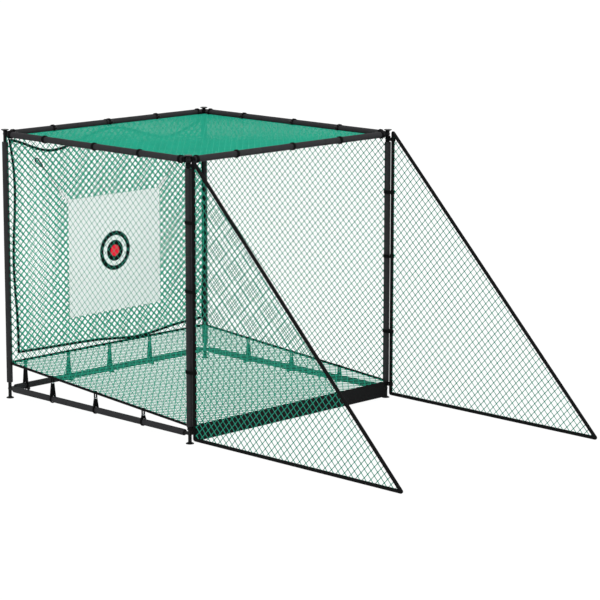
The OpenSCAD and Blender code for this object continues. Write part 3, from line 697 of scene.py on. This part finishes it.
class CAGE_OT_wings(bpy.types.Operator):
    """Makes the two wings: a padded border and a net in it"""
    bl_idname = "golf_cage.wings"
    bl_label = "Side wings"

    def execute(self, context):
        own = context.scene.golf_nets
        cover = braid("border_braid", context.scene.golf_padding.border_colour, 10, 0.009)
        # The wing twine is the net colour darkened to 0.6: painted shade
        material = twine("wing_net_twine_painted_shade", own.colour, "Z", 0.6)
        base, tip = Vector((WING_GAP, WING_LOW)), Vector((WING_TIP, WING_LOW))
        # The net's edges lie inside the border
        room = BORDER_R - 0.004
        for x, side, sag in ((-HALF_W, "left", LEFT_SAG), (HALF_W, "right", RIGHT_SAG)):
            apex = Vector((WING_GAP, WING_APEX - sag))
            run, rise = tip.x - base.x, apex.y - base.y
            cut = 1 - room * math.hypot(rise, run) / (rise * run)
            outline = [(base.x + room, base.y + room), (base.x + run * (cut - room / rise), base.y + room),
                       (base.x + room, base.y + rise * (cut - room / run))]
            net(f"{side}_wing_net", outline,
                lambda a, b: Vector((x + bowed(a, b, (0.07, 0.04), (2.3, 2.3), 0.004), -a, b)),
                own.wing_mesh_h, material, f"{side}_wing", own, own.strand)
            path = []
            for before, p, after in ((tip, base, apex), (base, apex, tip), (apex, tip, base)):
                way = (after - p).normalized()
                a, b = p + (before - p).normalized() * BORDER_BEND, p + way * BORDER_BEND
                path += [a.lerp(p, t).lerp(p.lerp(b, t), t) for t in (0, 0.25, 0.5, 0.75, 1)]
                far = after - way * BORDER_BEND
                count = round((far - b).length / 0.09)
                path += [b.lerp(far, k / count) for k in range(1, count)]
            bm = drawn([Vector((x, -p.x, p.y)) for p in path], BORDER_R, 14, closed=True)
            made = piece(f"{side}_wing_padding", bm, cover, f"{side}_wing", [f"{side}_wing_border"])
        return {"FINISHED"}


# Impact net


def swag_z(x):
    """Height of the top rope: two swags, each lowest nearer the corner and steepest there"""
    if abs(x) < SWAG_X:
        return HANG_Z - SWAG * (1 - math.cos(math.pi * abs(x) / SWAG_X)) / 2
    s = min(1.0, (abs(x) - SWAG_X) / (HANG_X - SWAG_X))
    return HANG_Z - SWAG * ((1 + math.cos(math.pi * s)) / 2 + 1 - s ** 1.6) / 2


def side_x(t):
    """Half width of the net at a share of the way down, eased from one point of DRAWN_IN to the next"""
    for (a, low), (b, high) in zip(DRAWN_IN, DRAWN_IN[1:]):
        if t <= b:
            s = max(0.0, (t - a) / (b - a))
            return HANG_X - low - (high - low) * (0.5 * s + 0.5 * s * s * (3 - 2 * s))
    return HANG_X - DRAWN_IN[-1][1]


def foot_z(x):
    """Height of the bottom rope, which sags, with one slack spot"""
    return (HEM_Z - HEM_SAG * math.cos(math.pi / 2 * x / side_x(1))
            - SLACK_SAG * math.exp(-((x - SLACK_X) / SLACK_W) ** 2))


def impact_rope():
    """The closed path of the rope round the impact net, in X and Z"""
    foot = foot_z(side_x(1))
    top = [(x, swag_z(x)) for x in [-HANG_X + 2 * HANG_X * i / 80 for i in range(81)]]
    right = [(side_x(t), HANG_Z - t * (HANG_Z - foot)) for t in [i / 36 for i in range(1, 36)]]
    low = [(x, foot_z(x)) for x in [side_x(1) * (1 - 2 * i / 56) for i in range(57)]]
    left = [(-x, z) for x, z in reversed(right)]
    return top + right + low + left


def in_rope(a, b):
    """Whether a place of the impact net lies within its rope"""
    half = side_x((HANG_Z - b) / (HANG_Z - HEM_Z))
    return abs(a) < half and foot_z(a) < b < swag_z(a)


def impact_place(a, b):
    """Where a point of the flat impact net hangs: within its rope, in soft folds"""
    t = min(1.0, max(0.0, (HANG_Z - b) / (HANG_Z - HEM_Z)))
    half = side_x(t) - ROPE_R
    x = min(half, max(-half, a))
    z = min(swag_z(x) - ROPE_R, max(foot_z(x) + ROPE_R, b))
    inward = min(1.0, (1 - abs(a) / HANG_X) * 6)
    fade, belly = inward * math.sin(math.pi * t), inward * min(1.0, 3 * math.sin(math.pi * t))
    gather = noise.noise(Vector((x * 5.0, 3.0, z * 1.1)))
    fold = noise.noise(Vector((x * 1.9, 5.0, z * 1.4)))
    return Vector((x + fade * FOLD * fold, IMPACT_Y + belly * (BELLY + GATHER * gather), z))


class CAGE_OT_impact_net(bpy.types.Operator):
    """Makes the impact net and the rope round it"""
    bl_idname = "golf_cage.impact_net"
    bl_label = "Impact net"

    def execute(self, context):
        own, cords = context.scene.golf_nets, context.scene.golf_cords
        low = HEM_Z - HEM_SAG - SLACK_SAG
        # The impact twine is the net colour lightened to 1.15: painted light
        material = twine("impact_net_twine_painted_light", own.colour, "Z", 1.15)
        net("impact_net", corners((-HANG_X, low), (HANG_X, HANG_Z)), impact_place, own.side_mesh_h, material,
            "impact_net_body", own, own.impact_strand, in_rope)
        bm = drawn([Vector((x, IMPACT_Y - ROPE_AHEAD, z)) for x, z in impact_rope()], cords.rope / 2, 10, closed=True)
        cord = braid("rope_braid", cords.colour, 8, 0.007)
        piece("impact_net_hem_rope", bm, cord, "impact_net_body", ["impact_net_rope"])
        return {"FINISHED"}


# Ropes and the front band


class CAGE_OT_floor_ropes(bpy.types.Operator):
    """Makes the ropes that carry the floor net"""
    bl_idname = "golf_cage.floor_ropes"
    bl_label = "Floor net ropes"

    def execute(self, context):
        cords = context.scene.golf_cords
        near = FOAM_R + ROPE_END
        far = DEPTH - near
        runs = [(Vector((x, near, rope_z(near))), Vector((x, far, rope_z(far)))) for x in (-HALF_W, HALF_W)]
        runs.append((Vector((near - HALF_W, DEPTH, BACK_ROPE_Z)), Vector((HALF_W - near, DEPTH, BACK_ROPE_Z))))
        bm = bmesh.new()
        for a, b in runs:
            sweep(bm, [a.lerp(b, i / 40) for i in range(41)], cords.rope / 2, 10)
        piece("floor_net_ropes", bm, braid("floor_rope_braid", cords.colour, 8, 0.007), "cage", ["floor_net_rope"])
        return {"FINISHED"}


def cloth(name, low, high, wave, thickness, cuts, material, body, nodes):
    """An upright sheet between two corners, rippled by wave and given its thickness"""
    bm = bmesh.new()
    bmesh.ops.create_grid(bm, x_segments=cuts[0], y_segments=cuts[1], size=0.5)
    size = Vector((high[0] - low[0], high[1] - low[1]))
    for vert in bm.verts:
        x, z = low[0] + (vert.co.x + 0.5) * size.x, low[1] + (vert.co.y + 0.5) * size.y
        vert.co = Vector((x, wave(x, z), z))
    bmesh.ops.recalc_face_normals(bm, faces=bm.faces)
    bm.normal_update()
    if bm.faces[:][0].normal.y > 0:
        bmesh.ops.reverse_faces(bm, faces=bm.faces)
    made = piece(name, bm, material, body, nodes, angle=0)
    solid = made.modifiers.new("thickness", "SOLIDIFY")
    solid.thickness = thickness
    solid.offset = 0.0
    return made


def hem_strip(name, low, high, wave, material, body):
    """A turned and stitched hem on the front of a sheet"""
    along = high[0] - low[0] > high[1] - low[1]
    cuts = (48, 1) if along else (1, 48)
    made = cloth(name, low, high, wave, 0.0012, cuts, material, body, [])
    bevel = made.modifiers.new("soft edge", "BEVEL")
    bevel.width = 0.0005
    bevel.segments = 2
    return made


class CAGE_OT_front_band(bpy.types.Operator):
    """Makes the canvas band across the front and its two hems"""
    bl_idname = "golf_cage.front_band"
    bl_label = "Front band"

    def execute(self, context):
        black = canvas("black_polyester_canvas", context.scene.golf_padding.band_colour)
        half, low, high, hem, ahead = 1.0305, 0.016, 0.140, 0.016, 0.0253

        def wave(x, z):
            return -ahead - 0.0012 * noise.noise(Vector((x * 4.0, 0.0, z * 9.0)))
        made = cloth("front_band_sheet", (-half, low), (half, high), wave, 0.0014, (120, 8), black, "cage",
                     ["front_band"])
        hems = [hem_strip(f"front_band_{edge}_hem", (-half, z), (half, z + hem),
                          lambda x, z: wave(x, z) - 0.0012, black, "cage")
                for edge, z in (("low", low), ("top", high - hem))]
        return {"FINISHED"}


# Loops and balls


def ball_shape(radius):
    """A moulded ball with a hole for the cord and a fine parting line"""
    bm = bmesh.new()
    bmesh.ops.create_uvsphere(bm, u_segments=18, v_segments=10, radius=radius)
    for vert in bm.verts:
        if abs(vert.co.z) < 0.1 * radius:
            vert.co *= 1.02
    top = max(bm.verts, key=lambda v: v.co.z)
    bmesh.ops.dissolve_verts(bm, verts=[top])
    hole = max(bm.faces, key=lambda f: f.calc_center_median().z)
    bmesh.ops.inset_region(bm, faces=[hole], thickness=radius * 0.12)
    bmesh.ops.translate(bm, verts=hole.verts[:], vec=(0, 0, -radius * 0.4))
    return as_shape(bm)


def arc(centre, radius, start, stop, count, off):
    """Points of an arc round a centre on the X axis, at a height on the Z axis"""
    return [Vector((centre + radius * math.cos(a), radius * math.sin(a), off))
            for a in [start + (stop - start) * i / count for i in range(count + 1)]]


def clasp_path(radius, mouth, off):
    """Path of a cord round a bar, to a ball at the mouth's angle, where the cords come together"""
    gap, steps = math.radians(14), 23
    path = arc(0.0, radius, mouth + gap, mouth + math.tau - gap, steps, off)
    for i, p in enumerate(path):
        p.z *= min(1.0, 0.35 + 0.25 * min(i, steps - i))
    return path


def link_path(near_r, far_r, reach, off, neck=0.0):
    """Path of a cord round a bar and a rope at a distance along X, drawn together at a neck if there is one"""
    lean = math.acos((near_r - far_r) / (neck or reach))
    path = arc(0.0, near_r, lean, math.tau - lean, 12, off)
    if neck:
        path.append(Vector((neck, -far_r, off)))
        lean = math.pi / 2
    path += arc(reach, far_r, -lean, lean, 8, off)
    if neck:
        path.append(Vector((neck, far_r, off)))
    return path


def crimp_shape():
    """A pressed ring that holds the cords together"""
    outline = [(0.0112, -0.004), (0.0132, -0.004), (0.0138, -0.003), (0.0138, 0.003), (0.0132, 0.004), (0.0112, 0.004)]
    return as_shape(spun(outline, 20, Matrix.Diagonal((0.8, 1.0, 1.0, 1.0))))


def lashing(start, way, count, radius, bore):
    """A cord wound side by side round an arm, from a start along a way: so many turns"""
    spin = Vector((0, 0, 1)).rotation_difference(way).to_matrix()
    path = [start + spin @ Vector((bore * math.cos(math.tau * i / 12), bore * math.sin(math.tau * i / 12),
                                   radius * 2.02 * i / 12)) for i in range(12 * count + 1)]
    return as_shape(drawn(path, radius, 6))


def bar_matrix(x, y, z, along):
    """Places what wraps a bar: local X points up, local Z runs along the bar"""
    head = Matrix.Rotation(math.pi / 2, 4, "Z") if along == "Y" else Matrix.Identity(4)
    return Matrix.Translation((x, y, z)) @ (head @ Matrix.Rotation(-math.pi / 2, 4, "Y"))


class CAGE_OT_loops(bpy.types.Operator):
    """Makes the elastic loops, their balls and crimps, and the loops that hang the impact net"""
    bl_idname = "golf_cage.loops"
    bl_label = "Ball loops"

    def execute(self, context):
        own = context.scene.golf_cords
        elastic = braid("elastic_braid", own.colour, 6, 0.004)
        plastic = moulded("moulded_ball_plastic", own.fitting_colour, 0.3)
        r = own.elastic / 2
        ball = ball_shape(own.ball)
        three = [k * CORD_STEP for k in (-1, 0, 1)]
        loops, balls = bmesh.new(), bmesh.new()

        def loop(paths, closed):
            bm = bmesh.new()
            for path in paths:
                sweep(bm, path, r, 6, closed)
            return as_shape(bm)

        def ball_at(matrix, angle, far=SEAT):
            place(balls, ball, matrix @ Matrix.Rotation(angle, 4, "Z") @ Matrix.Translation((far, 0, 0))
                  @ Matrix.Rotation(-math.pi / 2, 4, "Y"))

        def clasps(mouth, matrices):
            shape = loop([clasp_path(FOAM_R + PLAY, mouth, off) for off in three], False)
            for matrix in matrices:
                place(loops, shape, matrix)
                ball_at(matrix, mouth)

        def hand_over(where):
            piece(f"{where}_loops", loops, elastic, "cage", [f"{where}_bungee_loops"])
            piece(f"{where}_balls", balls, plastic, "cage", [f"{where}_bungee_balls"])

        for way in (-1, 1):
            clasps(way * TOP_MOUTH, [bar_matrix(way * HALF_W, y, TOP_Z, "Y") for y in SIDE_TIES])
        for y, way in ((0.0, 1), (DEPTH, -1)):
            clasps(way * TOP_MOUTH, [bar_matrix(x, y, TOP_Z, "X") for x in CROSS_TIES])
        # The nets' corners are lashed to the bare arms
        for x in (-HALF_W, HALF_W):
            for y, way in ((0.0, 1), (DEPTH, -1)):
                arms = [(Vector((math.copysign(1.0, -x), 0, 0)), *ARM_LASH), (Vector((0, way, 0)), *ARM_LASH)]
                if way > 0:
                    arms.append((Vector((0, 0, 1)), *POST_LASH))
                for arm, off, count in arms:
                    place(loops, lashing(Vector((x, y, TOP_Z)) + arm * off, arm, count, r, ARM_R + r))
        hand_over("top")

        loops, balls = bmesh.new(), bmesh.new()
        wraps = {bare: loop([link_path((ARM_R if bare else FOAM_R) + PLAY, BORDER_R + PLAY, WING_GAP, off)
                             for off in three], True) for bare in (False, True)}
        for x in (-HALF_W, HALF_W):
            for z in POST_TIES + (LOW_TIE, HIGH_TIE):
                bare = z in (LOW_TIE, HIGH_TIE)
                matrix = Matrix.Translation((x, 0.0, z))
                # Local X points to the front, local Z up
                place(loops, wraps[bare], matrix @ Matrix.Rotation(-math.pi / 2, 4, "Z"))
                ball_at(matrix, LEFT_MOUTH if x < 0 else ARM_MOUTH if bare else RIGHT_MOUTH,
                        SEAT - (FOAM_R - ARM_R if bare else 0.0))
        hand_over("post")

        loops, balls, crimps = bmesh.new(), bmesh.new(), bmesh.new()
        crimp = crimp_shape()

        def tie(matrix, reach, angle):
            neck = reach - CRIMP_DROP
            links = [link_path(FOAM_R + PLAY, ROPE_R + TIE_PLAY, reach, off, neck) for off in (-TIE_STEP, TIE_STEP)]
            place(loops, loop(links, True), matrix)
            # More cords fan out over the bar below the crimp
            fan = [[Vector((FOAM_R * math.cos(a), FOAM_R * math.sin(a), 0)), Vector((neck, 0.006 * math.sin(a), 0))]
                   for a in (-1.1, -0.65, -0.2, 0.2, 0.65, 1.1)]
            place(loops, loop(fan, False), matrix)
            place(crimps, crimp, matrix @ Matrix.Translation((neck, 0, 0)) @ Matrix.Rotation(math.pi / 2, 4, "Y"))
            ball_at(matrix, angle)

        for y in FLOOR_SIDE_TIES:
            for way in (-1, 1):
                tie(bar_matrix(way * HALF_W, y, LOW_Z, "Y"), rope_z(y) - LOW_Z, way * FLOOR_MOUTH)
        for x in FLOOR_BACK_TIES:
            tie(bar_matrix(x, DEPTH, LOW_Z, "X"), BACK_ROPE_Z - LOW_Z, -FLOOR_MOUTH)
        hand_over("floor")
        piece("floor_crimps", crimps, galvanised("crimp_steel"), "cage")

        loops = bmesh.new()
        drop, back = TOP_Z - HANG_Z, DEPTH - IMPACT_Y
        way = Matrix.Rotation(math.atan2(-back, -drop), 4, "Z")
        for x in HANG_LOOPS:
            near = (FOAM_R if x == HANG_LOOPS[1] else ARM_R) + HANG_OFF[0]
            path = link_path(near, ROPE_R + HANG_OFF[1], math.hypot(drop, back), 0.0)
            place(loops, as_shape(drawn(path, HANG_CORD_R, 8, closed=True)), bar_matrix(x, DEPTH, TOP_Z, "X") @ way)
        piece("hanging_loops", loops, elastic, "cage", ["impact_net_loops"])
        return {"FINISHED"}


# Target


def target_side(side, spot, y=0.0):
    """A point of the left side's drawing, or its mirror image on the right"""
    return Vector((TARGET_X + (spot.x if side == "left" else -spot.x), HOOK_Y + y, spot.y))


def soften(bm, edges, width):
    """Bevels the sharp ones of the edges"""
    bmesh.ops.bevel(bm, geom=[e for e in edges if e.calc_face_angle(0) > 1.0], offset=width, segments=2, profile=0.5,
                    affect="EDGES", material=-1)


def sheet_wave(x, z):
    """Soft vertical ripples, calm at the edges"""
    edge = min(1.0, (TARGET_HALF - abs(x - TARGET_X)) * 9, (TARGET_TOP - z) * 9, (z - TARGET_LOW) * 9)
    return HOOK_Y - 0.004 * max(0.0, edge) * (0.6 + noise.noise(Vector((x * 3.2, 0.0, z * 1.1))))


class CAGE_OT_target(bpy.types.Operator):
    """Makes the target sheet, its hems and its webbing tabs"""
    bl_idname = "golf_cage.target"
    bl_label = "Target sheet"

    def execute(self, context):
        own = context.scene.golf_target
        printed = printed_sheet(own)
        low = (TARGET_X - TARGET_HALF, TARGET_LOW)
        high = (TARGET_X + TARGET_HALF, TARGET_TOP)
        made = cloth("target_sheet", low, high, sheet_wave, TARGET_T, (72, 72), printed, "target", ["target_cloth"])
        tape = webbing(own.sheet_colour)
        seam = 0.018
        bands = {"top": ((low[0], high[1] - seam), high), "low": (low, (high[0], low[1] + seam)),
                 "left": (low, (low[0] + seam, high[1])), "right": ((high[0] - seam, low[1]), high)}
        parts = [hem_strip(f"target_{edge}_hem", a, b, lambda x, z: sheet_wave(x, z) - 0.0011, printed, "target") for edge, (a, b) in bands.items()]
        for side in ("left", "right"):
            bm = bmesh.new()
            bmesh.ops.create_cube(bm, size=1.0)
            bmesh.ops.scale(bm, vec=(TAB_W, TAB_T, TAB_LEN + TAB_LAP), verts=bm.verts)
            bmesh.ops.subdivide_edges(bm, edges=[e for e in bm.edges if abs(e.verts[0].co.z - e.verts[1].co.z) > 0.1],
                                      cuts=11)
            bmesh.ops.translate(bm, vec=(0, -TAB_T / 2, (TAB_LEN - TAB_LAP) / 2), verts=bm.verts)
            for vert in bm.verts:
                # The free end narrows to the cord's ring
                vert.co.x *= 1 - 0.45 * max(0.0, (vert.co.z - 0.06) / 0.06) ** 2
            bmesh.ops.rotate(bm, matrix=Matrix.Rotation(-math.pi / 4, 3, "Y"), verts=bm.verts)
            bmesh.ops.translate(bm, vec=(-TARGET_HALF, HOOK_Y - 0.0014, TARGET_TOP), verts=bm.verts)
            if side == "right":
                bmesh.ops.scale(bm, vec=(-1, 1, 1), verts=bm.verts)
                bmesh.ops.reverse_faces(bm, faces=bm.faces)
            bmesh.ops.translate(bm, vec=(TARGET_X, 0, 0), verts=bm.verts)
            bmesh.ops.recalc_face_normals(bm, faces=bm.faces)
            soften(bm, bm.edges, 0.0005)
            parts.append(piece(f"{side}_target_tab", bm, tape, "target", ["target_tabs"]))
        return {"FINISHED"}


def knot_turn():
    """One turn of the knot under the hook"""
    return as_shape(drawn([Vector((KNOT_R * c, KNOT_R * s, 0)) for c, s in round_points(12)], 0.0019, 6, closed=True))


def round_points(count):
    """Points of a unit circle"""
    return [(math.cos(a), math.sin(a)) for a in [math.tau * i / count for i in range(count)]]


def disc(bm, centre, radius, depth, segments):
    """Adds a disc to the mesh and gives its corners"""
    return bmesh.ops.create_cone(bm, cap_ends=True, segments=segments, radius1=radius, radius2=radius, depth=depth,
                                 matrix=Matrix.Translation(centre))["verts"]


def hook_shape(wire):
    """A snap hook's frame: local X runs down it, local Y across it, and local Z is the pin's axis"""
    lean = math.acos((WIDE_R - NARROW_R) / HOOK_SPAN)
    line = math.sqrt(HOOK_SPAN ** 2 - (WIDE_R - NARROW_R) ** 2)
    lower = [Vector((HOOK_SPAN + NARROW_R * math.cos(a), NARROW_R * math.sin(a), 0))
             for a in [-lean + 2 * lean * i / 14 for i in range(15)]]
    upper = [Vector((WIDE_R * math.cos(a), WIDE_R * math.sin(a), 0))
             for a in [lean + (math.tau - 2 * lean) * i / 26 for i in range(27)]]
    # The far side is straight; the near side stays open where the gate is
    across = [lower[-1].lerp(upper[0], i / 6) for i in range(1, 6)]
    pin = lower[0].lerp(upper[-1], PIN_UP / line)
    bm = drawn([pin] + lower + across + upper, wire / 2, 12)
    for z in (-CHEEK_OFF, CHEEK_OFF):
        cheek = disc(bm, pin + Vector((0, 0, z)), CHEEK_R, CHEEK_T, 20)
        soften(bm, dict.fromkeys(e for v in cheek for e in v.link_edges), 0.0003)
    disc(bm, pin, PIN_R, PIN_LEN, 12)
    return as_shape(bm)


class CAGE_OT_hooks(bpy.types.Operator):
    """Makes the snap hooks and the cords that hang the target from them"""
    bl_idname = "golf_cage.hooks"
    bl_label = "Snap hooks"

    def execute(self, context):
        own = context.scene.golf_cords
        cord = braid("target_cord_braid", own.colour, 5, 0.004)
        steel = blackened("blackened_steel_wire", "#101012", 0.45)
        down = Vector((DIAGONAL, -DIAGONAL))
        narrow = HOOK_LOW - down * (NARROW_R + WIRE_D / 2)
        wide = narrow - down * HOOK_SPAN
        shape = hook_shape(own.hook_wire)
        eye = narrow + NARROW_R * down
        eye_r = WIRE_D * DIAGONAL + EYE_CORD_R + 0.0003
        start = eye + eye_r * down
        end = Vector((-TARGET_HALF, TARGET_TOP)) - down * (TAB_LEN - 0.004)
        for side, sign in (("left", 1), ("right", -1)):
            bm = bmesh.new()
            place(bm, shape, Matrix.Translation((TARGET_X, 0, 0)) @ Matrix.Diagonal((sign, 1, 1, 1))
                  @ Matrix.Translation((wide.x, HOOK_Y, wide.y)) @ Matrix.Rotation(math.pi / 4, 4, "Y")
                  @ Matrix.Rotation(math.pi / 2, 4, "X"))
            bmesh.ops.recalc_face_normals(bm, faces=bm.faces)
            piece(f"{side}_hook_frame", bm, steel, "target", [f"{side}_snap_hook"])
            coat(f"{side}_hook_gate", steel)
            # Cord: a ring round the hook's lower end, a knot, then straight down to the tab
            bm = drawn([target_side(side, eye + eye_r * c * down, eye_r * s) for c, s in round_points(20)],
                       EYE_CORD_R, 8, closed=True)
            for turn in range(3):
                spot = start + (0.006 + 0.0035 * turn) * down
                place(bm, knot_turn(), Matrix.Translation(target_side(side, spot))
                      @ Matrix.Rotation(-sign * math.pi / 4, 4, "Y"))
            knot = piece(f"{side}_cord_eye", bm, cord, "target", [])
            path = [target_side(side, start.lerp(end, i / 16), -0.0006 * math.sin(math.pi * i / 16))
                    for i in range(17)]
            run = piece(f"{side}_cord", drawn(path, own.target_cord / 2, 8), cord, "target", [f"{side}_target_cord"])
        return {"FINISHED"}


# Stage


class CAGE_OT_stage(bpy.types.Operator):
    """Sets up the camera, the floor, the sky and the lamps"""
    bl_idname = "golf_cage.stage"
    bl_label = "Stage"

    def execute(self, context):
        scene = context.scene
        scene.view_settings.view_transform = "Standard"
        camera = bpy.data.cameras.new("camera")
        camera.sensor_width = 36.0
        camera.lens = LENS
        holder = linked("camera", camera)
        ahead = Vector((math.sin(TURN) * math.cos(DIP), math.cos(TURN) * math.cos(DIP), -math.sin(DIP)))
        right = Vector((math.cos(TURN), -math.sin(TURN), 0))
        up = right.cross(ahead)
        right, up = math.cos(ROLL) * right + math.sin(ROLL) * up, -math.sin(ROLL) * right + math.cos(ROLL) * up
        axes = Matrix((right, up, -ahead)).transposed().to_4x4()
        holder.matrix_world = Matrix.Translation(CAMERA) @ axes
        scene.camera = holder

        world = bpy.data.worlds.new("studio")
        world.use_nodes = True
        scene.world = world
        tree = world.node_tree
        tree.nodes.clear()
        ray = add(tree, "ShaderNodeLightPath")
        seen = ray.outputs["Is Camera Ray"]
        for kind in ("Is Glossy Ray", "Is Transmission Ray"):
            seen = add(tree, "ShaderNodeMath", {0: seen, 1: ray.outputs[kind]}, operation="MAXIMUM").outputs[0]
        level = add(tree, "ShaderNodeMapRange", {0: seen, 3: 0.78, 4: 1.0}).outputs[0]
        sky = add(tree, "ShaderNodeBackground", {"Color": (1, 1, 1, 1), "Strength": level})
        add(tree, "ShaderNodeOutputWorld", {"Surface": sky.outputs[0]})

        for name, strength, wide, pitch, head in (("key", 1.35, 40, 48, 292), ("fill", 0.9, 60, 20, 20)):
            lamp = bpy.data.lights.new(name, "SUN")
            lamp.energy = strength
            lamp.angle = math.radians(wide)
            linked(name, lamp).rotation_euler = (math.radians(90 - pitch), 0, math.radians(head))

        bm = bmesh.new()
        bmesh.ops.create_grid(bm, x_segments=1, y_segments=1, size=150.0)
        bmesh.ops.translate(bm, verts=bm.verts, vec=(0, 0, -0.0005))
        mesh = bpy.data.meshes.new("floor")
        bm.to_mesh(mesh)
        bm.free()
        linked("floor", mesh)
        paper = bpy.data.materials.new("white_paper")
        paper.use_nodes = True
        tree = paper.node_tree
        tree.nodes.clear()
        ray = add(tree, "ShaderNodeLightPath")
        matt = add(tree, "ShaderNodeBsdfDiffuse", {"Color": (0.9, 0.9, 0.9, 1)})
        glow = add(tree, "ShaderNodeEmission", {"Color": (1, 1, 1, 1), "Strength": 1.04})
        share = add(tree, "ShaderNodeMath", {0: ray.outputs["Is Camera Ray"], 1: 0.93}, operation="MULTIPLY")
        both = add(tree, "ShaderNodeMixShader", {0: share.outputs[0], 1: matt.outputs[0], 2: glow.outputs[0]})
        add(tree, "ShaderNodeOutputMaterial", {"Surface": both.outputs[0]})
        mesh.materials.append(paper)
        return {"FINISHED"}


class CAGE_PT_panel(bpy.types.Panel):
    """Lists the cage's sizes, colours and makers"""
    bl_idname = "CAGE_PT_panel"
    bl_label = "Golf practice cage"
    bl_space_type = "VIEW_3D"
    bl_region_type = "UI"
    bl_category = "Golf cage"

    def draw(self, context):
        for group in SETTINGS:
            own = getattr(context.scene, group)
            box = self.layout.box()
            for name in own.bl_rna.properties.keys():
                if name not in ("rna_type", "name"):
                    box.prop(own, name)
        for maker in MAKERS:
            self.layout.operator(maker.bl_idname)


SETTINGS = {"golf_nets": NetSettings, "golf_padding": PaddingSettings, "golf_cords": CordSettings,
            "golf_target": TargetSettings}
MAKERS = (CAGE_OT_stage, CAGE_OT_padding, CAGE_OT_fittings, CAGE_OT_cage_nets, CAGE_OT_wings, CAGE_OT_impact_net,
          CAGE_OT_floor_ropes, CAGE_OT_front_band, CAGE_OT_loops, CAGE_OT_target, CAGE_OT_hooks)


def register():
    for made in (*SETTINGS.values(), *MAKERS, CAGE_PT_panel):
        bpy.utils.register_class(made)
    for name, group in SETTINGS.items():
        setattr(bpy.types.Scene, name, PointerProperty(type=group))


def unregister():
    for name in SETTINGS:
        delattr(bpy.types.Scene, name)
    for made in reversed((*SETTINGS.values(), *MAKERS, CAGE_PT_panel)):
        bpy.utils.unregister_class(made)


def main():
    register()
    for maker in MAKERS:
        group, name = maker.bl_idname.split(".")
        getattr(getattr(bpy.ops, group), name)()


if __name__ == "__main__":
    main()
